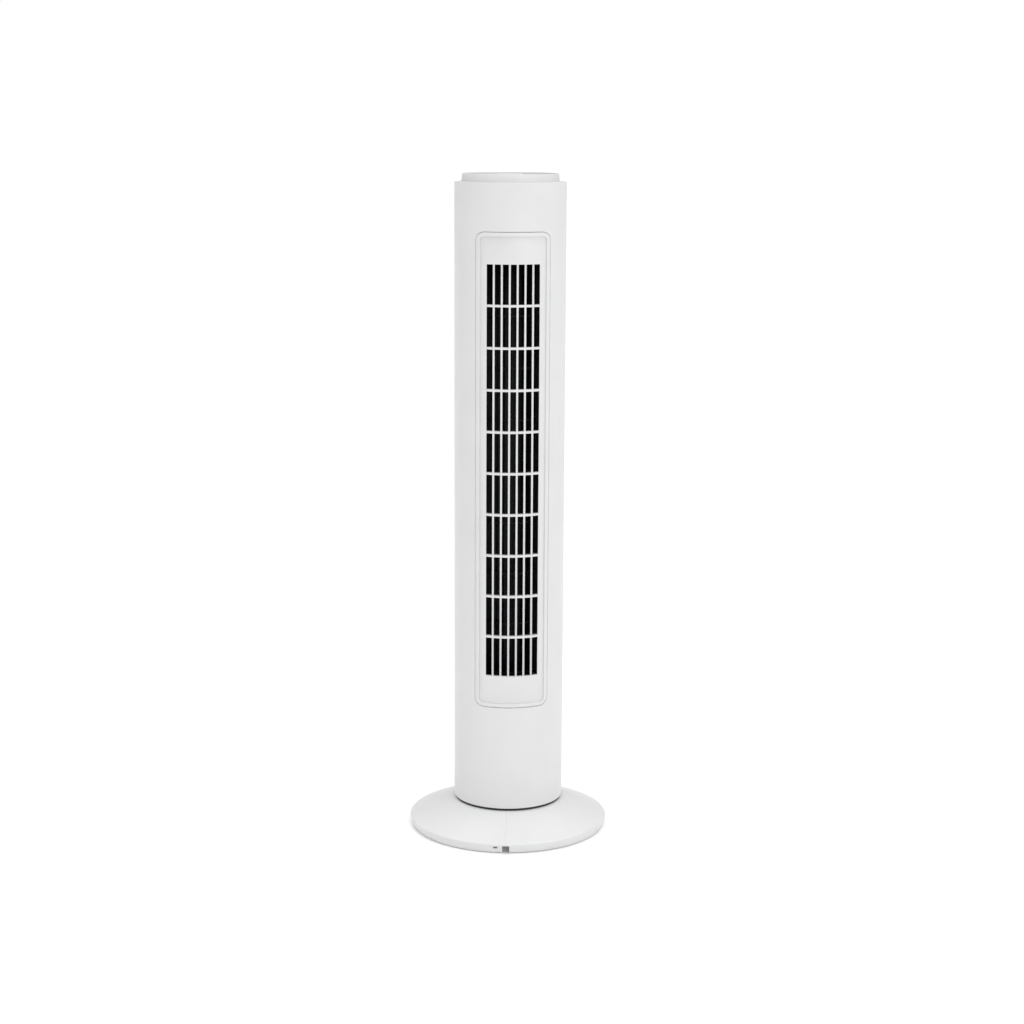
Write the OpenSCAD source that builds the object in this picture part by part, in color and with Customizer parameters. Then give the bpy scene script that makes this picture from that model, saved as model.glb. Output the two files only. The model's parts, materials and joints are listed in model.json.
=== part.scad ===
// Tower fan: a round column on a two-piece round base.
// Millimetres, +Z up, front towards -Y. The origin is on the floor under the column's axis.

/* [Column] */
// Outer diameter of the column
column_d = 126; // [112:1:140]
// Height of the column's shells
column_h = 711.5; // [640:0.5:860]
// Height of the column's bottom edge above the floor
column_z = 36; // [35:0.5:44]
// Wall of the two shells
shell_wall = 2.6; // [2.2:0.1:3.4]
// Distance of the seam between the shells behind the column's axis
seam_back = 9; // [6:0.5:13]
// Clearance between moulded pieces that fit inside each other
fit_gap = 0.2; // [0.15:0.05:0.3]

/* [Front grille] */
// Width of the grille insert
insert_w = 83.4; // [76:0.2:88]
// Height of the grille insert
insert_h = 539; // [470:1:560]
// Distance from the column's top edge to the top of the insert
insert_drop = 52.7; // [46:0.1:60]
// Radius of the insert's corners
insert_corner = 8; // [5:0.5:12]
// Width of the raised border round the insert
border_w = 4.6; // [3:0.1:7]
// Height of the border above the column's surface
border_rise = 0.6; // [0.3:0.1:1.2]
// Depth of the insert's field below the column's surface
field_drop = 0.5; // [0.2:0.1:1]
// Gap between the insert and the front shell
insert_gap = 0.7; // [0.3:0.1:1]
// Number of slots side by side
slot_columns = 7; // [5:2:7]
// Number of rows of slots
slot_rows = 10; // [6:1:12]
// Width of a slot
slot_w = 6.4; // [5:0.1:6.8]
// Width of the bar between two slots
bar_w = 2.3; // [1.8:0.1:2.6]
// Height of a cross bar between two rows
cross_bar_h = 2.6; // [2:0.1:4]
// Depth of the upright bars, measured from the column's surface
bar_depth = 5; // [4:0.1:6]
// Depth of the cross bars, measured from the column's surface
cross_bar_depth = 7; // [5.5:0.1:7.5]
// Distance from the column's top edge to the top of the slots
slots_drop = 88.2; // [84:0.1:96]
// Height of the field of slots
slots_h = 466.2; // [400:0.2:490]

/* [Rear grille] */
// Distance from one intake slot to the next
intake_pitch = 9.7; // [8:0.1:12]
// Height of an intake slot
intake_open = 5; // [4:0.1:6]
// Angle that the intake slots cover
intake_angle = 140; // [120:1:144]
// Number of upright ribs behind the intake slots
intake_ribs = 7; // [5:1:9]

/* [Top] */
// Outer diameter of the raised collar
collar_d = 110; // [98:1:116]
// Height of the collar above the column's top edge
collar_h = 9.2; // [7:0.1:12]
// Wall of the collar
collar_wall = 2.4; // [2:0.1:3]
// Width of a key
key_w = 12.6; // [10:0.1:13]
// Depth of a key from front to back
key_l = 15.6; // [12:0.1:18]
// Distance from one key to the next
key_pitch = 15; // [14.6:0.1:16]
// Travel of a key
key_travel = 3; // [1.5:0.1:3]
// Diameter of the timer knob
knob_d = 34; // [26:1:38]

/* [Carry handle] */
// Width of the finger opening
handle_w = 84; // [70:1:88]
// Height of the finger opening
handle_h = 24; // [20:1:28]
// Distance from the column's top edge to the top of the opening
handle_drop = 35.5; // [34:0.5:40]
// Distance of the pocket's back wall behind the column's axis
handle_back = 32; // [30:0.5:36]

/* [Impeller] */
// Diameter of the impeller
wheel_d = 78; // [66:1:80]
// Distance of the impeller's axis behind the column's axis
wheel_back = 4; // [2:0.5:6]
// Number of blades
blades = 32; // [24:1:36]
// Length of a blade's section from its inner to its outer edge
blade_chord = 9; // [7:0.5:11]
// Thickness of a blade
blade_wall = 1.1; // [0.8:0.1:1.4]
// Number of wheel sections between the rings
wheel_sections = 8; // [5:1:10]
// Gap between the impeller and the tongue
tongue_gap = 3; // [2.5:0.1:4]
// Gap between the impeller and the start of the air guide
guide_gap = 3.5; // [3:0.1:5]

/* [Motor] */
// Diameter of the motor
motor_d = 83; // [70:1:84]
// Height of the stator's stack
stack_h = 38; // [26:1:40]
// Height of each motor shield
shield_h = 16; // [14:0.5:18]
// Diameter of the motor shaft
motor_shaft_d = 8; // [6:0.5:8]
// Diameter of the upper stub shaft
stub_shaft_d = 6; // [5:0.5:8]

/* [Base] */
// Largest diameter of the base
base_d = 230; // [200:1:260]
// Height of the base's top above the floor
base_h = 33; // [30:0.5:33]
// Wall of the base halves
base_wall = 2.8; // [2.4:0.1:3.2]
// Height at which the base is widest
rim_z = 9.6; // [8:0.1:11]
// Radius of the rounded rim
rim_r = 2; // [1:0.1:5]
// How far the rim's side wall slopes inwards down to the bottom
rim_draft = 3; // [0:0.1:4]
// Radius of the flat top around the neck
land_r = 64; // [62:0.5:72]
// Width of the cord notch
notch_w = 8; // [7:0.1:10]
// Height of the cord notch's top above the floor
notch_h = 9.2; // [8:0.1:10]
// Turn of the base against the column at rest
base_turn = -4.8; // [-30:0.1:30]
// Radius of a rubber foot
foot_r = 7; // [5:0.5:8]
// Height of the rubber feet below the base's edge
foot_rise = 1; // [0.6:0.1:1.5]

/* [Swivel] */
// Outer radius of the fixed bearing ring
ring_r = 40; // [36:0.5:41]
// Wall of the bearing ring
ring_wall = 4; // [3.5:0.1:5]
// Radial clearance of the swivel bearing
swivel_gap = 0.06; // [0.04:0.01:0.1]
// Thickness of the thrust washer
washer_t = 1; // [0.8:0.1:1.2]
// Distance of the crank's axis from the swivel axis
crank_back = 16; // [15:0.5:17]
// Throw of the crank
crank_throw = 9; // [8:0.1:9.5]
// Radius of the crank's pin
pin_r = 2; // [1.5:0.1:2.2]
// Sideways clearance of the pin in its slot
pin_gap = 0.95; // [0.9:0.05:1.2]
// Turn of the crank for each degree of swing
crank_ratio = 3.143; // [3:0.001:3.2]

/* [Hidden] */
$fn = 96;
eps = 0.01;

// Column
column_r = column_d / 2;
shell_in_r = column_r - shell_wall;
inside_r = shell_in_r - fit_gap;
column_top = column_z + column_h;
top_bevel = 0.8;
// Plates and ribs inside the shells stop at this radius, clear of the grille's flange
flange_t = 2.4;
core_r = inside_r - flange_t - 0.4;

// Grille insert
insert_top = column_top - insert_drop;
insert_mid = insert_top - insert_h / 2;
insert_lap = 3.6;
slots_top = column_top - slots_drop;
slots_bottom = slots_top - slots_h;
slot_pitch = slot_w + bar_w;
slots_half_w = slot_columns * slot_pitch / 2 - bar_w / 2;
slot_h = (slots_h - (slot_rows - 1) * cross_bar_h) / slot_rows;

// Air path
plate_t = 3;
duct_bottom = slots_bottom - 9;
duct_top = slots_top + 5;
wheel_r = wheel_d / 2;
wheel_bottom = duct_bottom + 4;
wheel_top = duct_top - 4;
ring_t = 2.4;
guide_t = 1.6;
guide_edge_x = slots_half_w + 1.5;
guide_edge_r = inside_r - flange_t - 0.25;
guide_edge_y = -sqrt(pow(guide_edge_r, 2) - pow(guide_edge_x + guide_t, 2));
intake_rows = floor((slots_h + intake_open) / intake_pitch);

// Motor, hung under its plate
motor_r = motor_d / 2;
mount_h = 5;
mount_r = 5;
mount_circle = motor_r - 9;
motor_top = duct_bottom - plate_t - mount_h;
shield_wall = 2.7;
stack_top = motor_top - shield_h;
stack_bottom = stack_top - stack_h;
motor_bottom = stack_bottom - shield_h;
rotor_r = motor_r * 0.57;
air_gap = 0.4;
capacitor_w = 36;
capacitor_h = 28;
capacitor_front = core_r - 3.4;
capacitor_l = capacitor_front - (motor_r - wheel_back) - 1.5;
shaft_r = motor_shaft_d / 2;
shaft_gap = 0.05;
stub_r = stub_shaft_d / 2;
bush_wall = 3;

// Top and controls
collar_r = collar_d / 2;
panel_r = collar_r - collar_wall - fit_gap;
panel_t = 2.6;
ledge_w = 3.6;
ledge_z = column_top - 0.9;
panel_top = ledge_z + panel_t;
collar_top = column_top + collar_h;
key_y = -22;
key_gap = 0.3;
key_top = collar_top - 1.5;
key_lip = 0.8;
key_lip_t = 1;
key_bottom = ledge_z - 0.2 - key_lip_t;
stem_w = 5;
bank_top = key_bottom - key_travel - 0.4;
bank_h = 20;
bank_w = 4 * key_pitch + 14;
bank_l = 17;
lug_x = 1.5 * key_pitch;
lug_y = key_y + bank_l / 2 + 3;
knob_y = 18;
knob_gap = 0.4;
spindle_r = 3;
timer_h = 24;
timer_w = 40;
timer_l = 34;

// Handle pocket
handle_top = column_top - handle_drop;
handle_bottom = handle_top - handle_h;
handle_wall = 2.2;
handle_rise = 4;

// Shell screws, in pairs left and right
screw_x = column_r - 12.5;
screw_levels = [column_z + 32, motor_top - 6, duct_top + 12];
screw_head_r = 3;
screw_head_t = 2;
screw_r = 1.4;
boss_r = 5;
head_seat_y = seam_back + 7;

// Base
base_r = base_d / 2;
rim_c = base_r - rim_r;
cone_slope = (base_h - rim_z - rim_r * 0.92) / (rim_c + rim_r * 0.39 - land_r);
cone_normal = 90 - atan(cone_slope);
least_arc_r = 0.4;
neck_gap = 0.2;
foot_circle = base_r - 17;
foot_t = 2;
seam_gap = 0.1;
channel_w = notch_w + 4;
channel_wall = 2;
rib_t = 2;
foot_angles = [122, 180, 238];
rib_angles = [108, 136, 151, 166, 194, 209, 224, 252];

// Mains lead, in its grommet in the rear notch
lead_r = 3.2;
grommet_lip = 1.2;

// Bundle of wires beside the air path
wire_r = 2.2;
wire_circle = core_r - wire_r - 1.9;
wire_angle = -30.4;
wire_x = wire_circle * cos(wire_angle);
wire_y = wire_circle * sin(wire_angle);

// Swivel
flange_z = base_h + 2;
flange_inset = 1.5;
washer_top = flange_z + washer_t;
neck_r = ring_r + 5.8;
neck_bottom = base_h - 11;
nut_t = 6;
sleeve_wall = 3;
sleeve_top = column_z + 13;
ring_top = sleeve_top + 0.3;
retainer_t = 2.5;
arm_w = 13;
arm_z = column_z + 3.5;
arm_t = 4;
disc_z = arm_z + arm_t + 3;
disc_t = 4;
disc_r = crank_throw + pin_r + 1.5;
swing_shaft_r = 2.5;
bracket_z = ring_top + retainer_t + 4;
bracket_t = 2;
post_circle = inside_r - 8.2;
post_r = 3.5;
cover_t = 2.8;
skirt_t = 2.4;
clamp_l = 9;
clamp_w = 12;
clamp_x = (ring_r + sleeve_wall + inside_r - skirt_t - clamp_l) / 2;
swing_motor_r = 24.5;
swing_motor_h = 19;
swing_motor_offset = 7;

// A ring standing on Z = 0
module ring(r_out, r_in, h) {
    difference() {
        cylinder(r = r_out, h = h);
        translate([0, 0, -1]) cylinder(r = r_in, h = h + 2);
    }
}

// Copies of a child, evenly spaced round the Z axis
module around(count, first = 0) {
    for (i = [0 : count - 1]) rotate([0, 0, first + i * 360 / count]) children();
}

// A block with rounded corners as seen from the front, w wide, h tall and centred, l deep along Y
module front_block(w, h, r, l) {
    rotate([90, 0, 0]) translate([0, 0, -l]) linear_extrude(l) hull()
        for (x = [-1, 1], y = [-1, 1])
            translate([x * (w / 2 - r), y * (h / 2 - r)]) circle(r = r, $fn = 32);
}

// A block standing on Z = 0 with rounded upright edges
module top_block(w, l, h, r) {
    linear_extrude(h) hull()
        for (x = [-1, 1], y = [-1, 1])
            translate([x * (w / 2 - r), y * (l / 2 - r)]) circle(r = r, $fn = 32);
}

// A screw pointing down, its head's seat at Z = 0, with a cross recess
module screw(head_r, head_t, shank_r, shank_l) {
    difference() {
        union() {
            cylinder(r1 = head_r, r2 = head_r * 0.8, h = head_t);
            translate([0, 0, -shank_l]) cylinder(r = shank_r, h = shank_l + eps);
        }
        for (a = [0, 90]) rotate([0, 0, a])
            translate([-head_r * 0.6, -head_r * 0.12, head_t * 0.45])
                cube([head_r * 1.2, head_r * 0.24, head_t]);
    }
}

// ---------------------------------------------------------------- Base

// Points of the base's outline from the bottom of the side wall to the flat top, moved in by inset
function base_outline(inset) = let (shift = arc_shift(inset), r = rim_r - inset - shift) concat(
    [[base_r - rim_draft - inset, foot_rise]],
    [for (i = [0 : 6]) let (a = cone_normal * i / 6)
        [rim_c + shift + r * cos(a), rim_z + shift * tan(cone_normal / 2) + r * sin(a)]],
    [[cone_foot(inset), base_h - inset]]);

// How far the rim's arc moves towards the axis where an inset takes up its whole radius
function arc_shift(inset) = min(0, rim_r - inset - least_arc_r);

// Radius at which the sloping top, moved in by inset, meets the flat top
function cone_foot(inset) = rim_c + (rim_r - inset) * cos(cone_normal)
    - (base_h - inset - rim_z - (rim_r - inset) * sin(cone_normal)) / cone_slope;

// The space inside the base's outline, as a solid half disc on the side of -X
module base_space(inset) {
    rotate([0, 0, 90]) rotate_extrude(angle = 180)
        polygon(concat([[0, foot_rise]], base_outline(inset), [[0, base_h - inset]]));
}

// One half of the base. The two halves are alike, one turned half a turn
module base_half() {
    difference() {
        union() {
            difference() {
                base_space(0);
                translate([0, 0, -eps]) base_space(base_wall);
                translate([0, 0, -1]) cylinder(r = base_r - rim_draft - base_wall, h = foot_rise + 1.5);
            }
            intersection() {
                base_space(base_wall / 2);
                union() {
                    for (a = foot_angles) rotate([0, 0, a]) translate([foot_circle, 0, 0])
                        cylinder(r = foot_r + 1.6, h = base_h);
                    for (a = rib_angles) rotate([0, 0, a]) base_rib();
                    for (y = [land_r - 2, -base_r + 5])
                        translate([-channel_w / 2 - channel_wall, y, foot_rise + 3])
                            cube([channel_wall, base_r - land_r - 3, base_h]);
                }
            }
        }
        translate([0, 0, -1]) cylinder(r = neck_r + neck_gap, h = base_h + 2);
        translate([-seam_gap / 2, -base_r, 0]) cube([base_r, base_d, base_h + 1]);
        translate([-notch_w / 2, -base_r - 1, -1]) cube([notch_w, 12, notch_h + 1]);
        translate([-notch_w / 2, base_r - 11, -1]) cube([notch_w, 12, notch_h + 1]);
        for (a = foot_angles) rotate([0, 0, a]) translate([foot_circle, 0, -1])
            cylinder(r = foot_r, h = foot_t + 1);
        latch_window();
    }
}

// An upright stiffening rib from the flat top to the rim
module base_rib() {
    translate([0, rib_t / 2, 0]) rotate([90, 0, 0]) linear_extrude(rib_t)
        polygon([[land_r - 4, base_h], [land_r - 4, base_h - 16],
            [base_r - 8, foot_rise + 3], [base_r, foot_rise + 3], [base_r, base_h]]);
}

// Small window in the side wall, beside the front seam, for the catch that joins the halves
module latch_window() {
    rotate([0, 0, -6]) translate([-2.5, -base_r - 2, rim_z - 1.2]) cube([5, 8, 2.4]);
}

module base_half_left() {
    color("whitesmoke") rotate([0, 0, base_turn]) base_half();
}

module base_half_right() {
    color("whitesmoke") rotate([0, 0, base_turn + 180]) base_half();
}

module rubber_feet() {
    color("dimgray") for (turn = [0, 180], a = foot_angles)
        rotate([0, 0, base_turn + turn + a]) translate([foot_circle, 0, 0]) {
            cylinder(r1 = foot_r - 0.6, r2 = foot_r, h = 0.6);
            translate([0, 0, 0.6 - eps]) cylinder(r = foot_r, h = foot_t - 0.6 + eps);
        }
}

// Soft grommet that fills the rear notch, with a bore for the mains lead
module cord_grommet() {
    color("dimgray") rotate([0, 0, base_turn]) difference() {
        union() {
            translate([-notch_w / 2, base_r - rim_draft - base_wall - 2, foot_rise])
                cube([notch_w, base_wall + 2 + 1.6, notch_h - foot_rise]);
            translate([-notch_w / 2 - grommet_lip, base_r - rim_draft - base_wall - 4, foot_rise])
                cube([notch_w + 2 * grommet_lip, 2, notch_h - foot_rise + grommet_lip]);
        }
        translate([0, base_r + 5, foot_rise + (notch_h - foot_rise) / 2]) rotate([90, 0, 0])
            cylinder(r = lead_r, h = 20);
    }
}

// ---------------------------------------------------------------- Swivel

// Fixed swivel plate: flange on the base, bearing ring above, screwed neck below, slotted arm
module pivot_plate() {
    color("#26282a") rotate([0, 0, base_turn]) difference() {
        union() {
            translate([0, 0, base_h]) ring(column_r - flange_inset, ring_r - ring_wall, flange_z - base_h);
            translate([0, 0, neck_bottom]) ring(neck_r, ring_r - ring_wall, base_h - neck_bottom + eps);
            translate([0, 0, flange_z - eps]) ring(ring_r, ring_r - ring_wall, ring_top - flange_z);
            intersection() {
                translate([-arm_w / 2, -2, arm_z]) cube([arm_w, ring_r, arm_t]);
                cylinder(r = ring_r - 1, h = column_top);
            }
        }
        hull() for (y = [crank_back - crank_throw - 1, crank_back + crank_throw + 1])
            translate([0, y, arm_z - 1]) cylinder(r = pin_r + pin_gap, h = arm_t + 2, $fn = 32);
        around(3, 30) translate([ring_r - ring_wall / 2, 0, ring_top - 9])
            cylinder(r = 1.2, h = 12);
    }
}

module thrust_washer() {
    color("ivory") translate([0, 0, flange_z]) ring(ring_r + 10.5, ring_r + 0.3, washer_t);
}

// Large ring nut that clamps the base halves to the swivel plate from below
module lock_nut() {
    color("#26282a") rotate([0, 0, base_turn]) translate([0, 0, base_h - base_wall - nut_t - 0.05])
        difference() {
            ring(neck_r + 12, neck_r + 0.1, nut_t);
            around(12) translate([neck_r + 13.5, 0, -1]) cylinder(r = 3.5, h = nut_t + 2);
        }
}

module swivel_retainer() {
    color("silver") rotate([0, 0, base_turn]) translate([0, 0, ring_top]) difference() {
        ring(ring_r + sleeve_wall + 0.6, ring_r - ring_wall, retainer_t);
        around(3, 30) translate([ring_r - ring_wall / 2, 0, -1]) cylinder(r = 1.5, h = retainer_t + 2);
    }
}

module retainer_screws() {
    color("gray") rotate([0, 0, base_turn]) around(3, 30)
        translate([ring_r - ring_wall / 2, 0, ring_top + retainer_t]) screw(2.6, 1.6, 1.2, 10);
}

// Moulded cover that closes the column's bottom and turns on the bearing ring
module bottom_cover() {
    color("whitesmoke") difference() {
        union() {
            translate([0, 0, column_z]) ring(inside_r, ring_r + swivel_gap, cover_t);
            translate([0, 0, column_z]) ring(inside_r, inside_r - skirt_t, 13);
            translate([0, 0, column_z]) ring(ring_r + sleeve_wall, ring_r + swivel_gap, sleeve_top - column_z);
            around(3, 30) translate([post_circle, 0, column_z]) cylinder(r = post_r, h = bracket_z - column_z);
        }
        around(3, 30) translate([post_circle, 0, bracket_z - 10]) cylinder(r = 1.2, h = 12);
    }
}

// ---------------------------------------------------------------- Column

// The full round wall of the two shells, with a small bevel at the top edge
module shell_wall_ring() {
    rotate_extrude() polygon([[shell_in_r, column_z], [column_r, column_z],
        [column_r, column_top - top_bevel], [column_r - top_bevel, column_top],
        [shell_in_r, column_top]]);
}

// A screw boss along Y at the wall, on the side of +X, from y_from back to y_to
module wall_boss(y_from, y_to) {
    intersection() {
        union() {
            translate([screw_x, y_to, 0]) rotate([90, 0, 0]) cylinder(r = boss_r, h = y_to - y_from);
            translate([screw_x, y_from, -1.2]) cube([column_r - screw_x, y_to - y_from, 2.4]);
        }
        translate([0, 0, -20]) cylinder(r = column_r - 1, h = 40);
    }
}

module front_shell() {
    color("whitesmoke") difference() {
        union() {
            shell_wall_ring();
            for (z = screw_levels, side = [0, 1]) translate([0, 0, z]) mirror([side, 0, 0])
                wall_boss(seam_back - 16, seam_back);
        }
        translate([-column_d, seam_back, 0]) cube([2 * column_d, column_d, column_top + 1]);
        translate([0, -column_r, insert_mid]) front_block(insert_w, insert_h, insert_corner, column_r / 2);
        for (z = screw_levels, x = [-screw_x, screw_x]) translate([x, seam_back + 1, z])
            rotate([90, 0, 0]) cylinder(r = screw_r, h = 15);
    }
}

module rear_shell() {
    color("whitesmoke") difference() {
        union() {
            difference() {
                shell_wall_ring();
                for (i = [0 : intake_rows - 1])
                    rotate([0, 0, 90 - intake_angle / 2])
                        translate([0, 0, slots_bottom + i * intake_pitch])
                            rotate_extrude(angle = intake_angle)
                                translate([shell_in_r - 1, 0]) square([shell_wall + 2, intake_open]);
            }
            for (i = [0 : intake_ribs - 1])
                rotate([0, 0, 90 + (i - (intake_ribs - 1) / 2) * intake_angle / intake_ribs])
                    translate([core_r, -1.2, duct_bottom - plate_t - 4])
                        cube([shell_in_r + 0.8 - core_r, 2.4, duct_top - duct_bottom + 2 * plate_t + 8]);
            for (z = screw_levels, side = [0, 1]) translate([0, 0, z]) mirror([side, 0, 0])
                wall_boss(seam_back, column_r);
        }
        translate([-column_d, -column_d + seam_back, 0]) cube([2 * column_d, column_d, column_top + 1]);
        translate([0, handle_back, (handle_top + handle_bottom) / 2])
            front_block(handle_w + 2 * handle_wall + 2 * fit_gap, handle_h + 2 * handle_wall + 2 * fit_gap,
                6, column_r);
        for (z = screw_levels, x = [-screw_x, screw_x]) translate([x, 0, z]) rotate([-90, 0, 0]) {
            cylinder(r = screw_r + 0.3, h = column_r);
            translate([0, 0, head_seat_y]) cylinder(r = screw_head_r + 0.4, h = column_r);
        }
    }
}

module shell_screws() {
    color("gray") for (z = screw_levels, x = [-screw_x, screw_x])
        translate([x, head_seat_y, z]) rotate([-90, 0, 0])
            screw(screw_head_r, screw_head_t, screw_r, head_seat_y - seam_back + 12);
}

// Part of a round wall between two radii, inside a rounded outline seen from the front
module curved_plate(r_in, r_out, w, h, corner) {
    intersection() {
        translate([0, 0, insert_mid - h]) ring(r_out, r_in, 2 * h);
        translate([0, -column_r - 5, insert_mid]) front_block(w, h, corner, column_r * 0.75);
    }
}

module front_grille() {
    grille_w = insert_w - 2 * insert_gap;
    grille_h = insert_h - 2 * insert_gap;
    color("whitesmoke") {
        difference() {
            union() {
                curved_plate(column_r - bar_depth, column_r + border_rise, grille_w, grille_h,
                    insert_corner - insert_gap);
                curved_plate(inside_r - flange_t, inside_r, insert_w + 2 * insert_lap,
                    insert_h + 2 * insert_lap, insert_corner + insert_lap);
            }
            curved_plate(column_r - field_drop, column_r + 5, grille_w - 2 * border_w,
                grille_h - 2 * border_w, 4);
            for (i = [0 : slot_columns - 1])
                translate([i * slot_pitch - slots_half_w, -column_r - 5, slots_bottom])
                    cube([slot_w, column_r, slots_h]);
        }
        for (j = [1 : slot_rows - 1]) intersection() {
            translate([0, 0, slots_bottom + j * (slot_h + cross_bar_h) - cross_bar_h])
                ring(column_r - field_drop, column_r - cross_bar_depth, cross_bar_h);
            translate([-slots_half_w - 1, -column_r - 5, 0])
                cube([2 * slots_half_w + 2, column_r, column_top]);
        }
    }
}

// Moulded pocket for the fingers, higher inside than its opening
module carry_handle() {
    outer_w = handle_w + 2 * handle_wall;
    pocket_h = handle_h + handle_rise;
    color("whitesmoke") difference() {
        union() {
            intersection() {
                translate([0, handle_back - handle_wall, handle_bottom + pocket_h / 2])
                    front_block(outer_w, pocket_h + 2 * handle_wall, 6, column_r);
                cylinder(r = inside_r, h = column_top);
            }
            intersection() {
                translate([0, handle_back - handle_wall, handle_bottom + handle_h / 2])
                    front_block(outer_w, handle_h + 2 * handle_wall, 6 - fit_gap, column_r);
                cylinder(r = column_r + 0.4, h = column_top);
            }
        }
        intersection() {
            translate([0, handle_back, handle_bottom + pocket_h / 2])
                front_block(handle_w, pocket_h, 5, column_r);
            cylinder(r = inside_r - handle_wall, h = column_top);
        }
        translate([0, handle_back, handle_bottom + handle_h / 2])
            front_block(handle_w, handle_h, 5, column_r);
    }
}

// ---------------------------------------------------------------- Top and controls

module top_cap() {
    ledge_r = panel_r - ledge_w;
    color("whitesmoke") rotate_extrude() polygon([
        [ledge_r, column_top - 3], [inside_r - 2.4, column_top - 3],
        [inside_r - 2.4, column_top - 11], [inside_r, column_top - 11],
        [inside_r, column_top], [collar_r, column_top],
        [collar_r, collar_top - 0.8], [collar_r - 0.8, collar_top],
        [collar_r - collar_wall, collar_top], [collar_r - collar_wall, ledge_z],
        [ledge_r, ledge_z]]);
}

function key_x(i) = (i - 2) * key_pitch;

module control_panel() {
    color("gainsboro") difference() {
        union() {
            translate([0, 0, ledge_z]) cylinder(r = panel_r, h = panel_t);
            for (x = [-1, 1]) translate([x * lug_x, lug_y, bank_top])
                cylinder(r = 2.4, h = ledge_z - bank_top + eps);
        }
        for (i = [0 : 4]) translate([key_x(i), key_y, ledge_z - 1])
            top_block(key_w + 2 * key_gap, key_l + 2 * key_gap, panel_t + 2, 1.5 + key_gap);
        translate([0, knob_y, ledge_z - 1]) cylinder(r = spindle_r + 0.4, h = panel_t + 2);
    }
}

module key(i) {
    color(i == 0 ? "silver" : "white") translate([key_x(i), key_y, 0]) {
        translate([0, 0, key_bottom]) top_block(key_w, key_l, key_top - key_bottom, 1.5);
        translate([0, 0, key_bottom])
            top_block(key_w + 2 * key_lip, key_l + 2 * key_lip, key_lip_t, 1.5 + key_lip);
        translate([-stem_w / 2, -stem_w / 2, bank_top - 6]) cube([stem_w, stem_w, key_bottom - bank_top + 7]);
    }
}
module key_0() { key(0); }
module key_1() { key(1); }
module key_2() { key(2); }
module key_3() { key(3); }
module swing_key() { key(4); }

module switch_bank() {
    color("#303234") difference() {
        union() {
            translate([-bank_w / 2, key_y - bank_l / 2, bank_top - bank_h]) cube([bank_w, bank_l, bank_h]);
            for (x = [-1, 1]) translate([x * lug_x - 3, lug_y - 4, bank_top - 3]) cube([6, 7, 3]);
        }
        for (i = [0 : 4]) translate([key_x(i), key_y, bank_top - 6 - key_travel - 1])
            top_block(stem_w + 0.4, stem_w + 0.4, 20, 0.5);
    }
}

module timer_body() {
    color("#d8d2c0") difference() {
        translate([-timer_w / 2, knob_y - timer_l / 2, ledge_z - timer_h]) cube([timer_w, timer_l, timer_h]);
        translate([0, knob_y, ledge_z - 12]) cylinder(r = spindle_r + 0.05, h = 20);
    }
}

module timer_spindle() {
    color("silver") translate([0, knob_y, ledge_z - 11]) cylinder(r = spindle_r, h = 15);
}

// Low dial with a straight grip across it
module timer_knob() {
    knob_z = panel_top + knob_gap;
    knob_h = collar_top - 0.6 - knob_z;
    knob_r = knob_d / 2;
    color("gainsboro") translate([0, knob_y, knob_z]) difference() {
        union() {
            rotate_extrude() polygon([[0, 0], [knob_r, 0], [knob_r, knob_h - 3],
                [knob_r - 0.7, knob_h - 2.3], [0, knob_h - 2.3]]);
            translate([-knob_r + 2, -2.5, 0.5]) cube([2 * knob_r - 4, 5, knob_h - 0.5]);
        }
        translate([0, 0, -1]) cylinder(r = spindle_r, h = ledge_z + 5 - knob_z);
    }
}

// ---------------------------------------------------------------- Air path

// Round plate across the column, clear of the grille's flange and of the wires
module cross_plate(z) {
    translate([0, 0, z]) difference() {
        cylinder(r = core_r, h = plate_t);
        translate([wire_x, wire_y, -1]) cylinder(r = wire_r + 0.4, h = plate_t + 2);
    }
}

module bearing_plate() {
    color("#3a3c3e") difference() {
        union() {
            cross_plate(duct_top);
            translate([0, wheel_back, duct_top]) cylinder(r = stub_r + bush_wall + 3, h = 11);
            for (a = [0, 90]) translate([0, wheel_back, duct_top + plate_t - eps]) rotate([0, 0, a])
                translate([-30, -1, 0]) cube([60, 2, 5]);
        }
        translate([0, wheel_back, duct_top - 1]) cylinder(r = stub_r + bush_wall, h = 14);
    }
}

module bearing_bush() {
    color("#b08d57") translate([0, wheel_back, duct_top])
        ring(stub_r + bush_wall, stub_r + shaft_gap, 10);
}

module stub_shaft() {
    color("silver") translate([0, wheel_back, wheel_top - 9]) cylinder(r = stub_r, h = duct_top - wheel_top + 20);
}

// Outline of one curved blade, from the rim inwards, bowed forwards
function blade_arc(side) = [for (i = [0 : 4]) let (t = i / 4)
    [wheel_r - 0.4 - blade_chord * t, 2.6 * sin(180 * t) + 4 * t + side * blade_wall / 2]];
module blade() {
    left = blade_arc(1);
    right = blade_arc(-1);
    polygon(concat(left, [for (i = [4 : -1 : 0]) right[i]]));
}

module impeller() {
    gap = (wheel_top - wheel_bottom - ring_t) / wheel_sections;
    color("#151617") translate([0, wheel_back, wheel_bottom]) {
        linear_extrude(wheel_top - wheel_bottom) for (i = [0 : blades - 1])
            rotate([0, 0, i * 360 / blades]) blade();
        for (i = [1 : wheel_sections - 1]) translate([0, 0, i * gap])
            ring(wheel_r, wheel_r - blade_chord - 1.5, ring_t);
        ring(wheel_r, shaft_r, ring_t);
        ring(shaft_r + 5, shaft_r, 15);
        translate([0, 0, wheel_top - wheel_bottom - ring_t]) ring(wheel_r, stub_r, ring_t);
        translate([0, 0, wheel_top - wheel_bottom - 12]) ring(stub_r + 5, stub_r, 12);
    }
}

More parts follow.
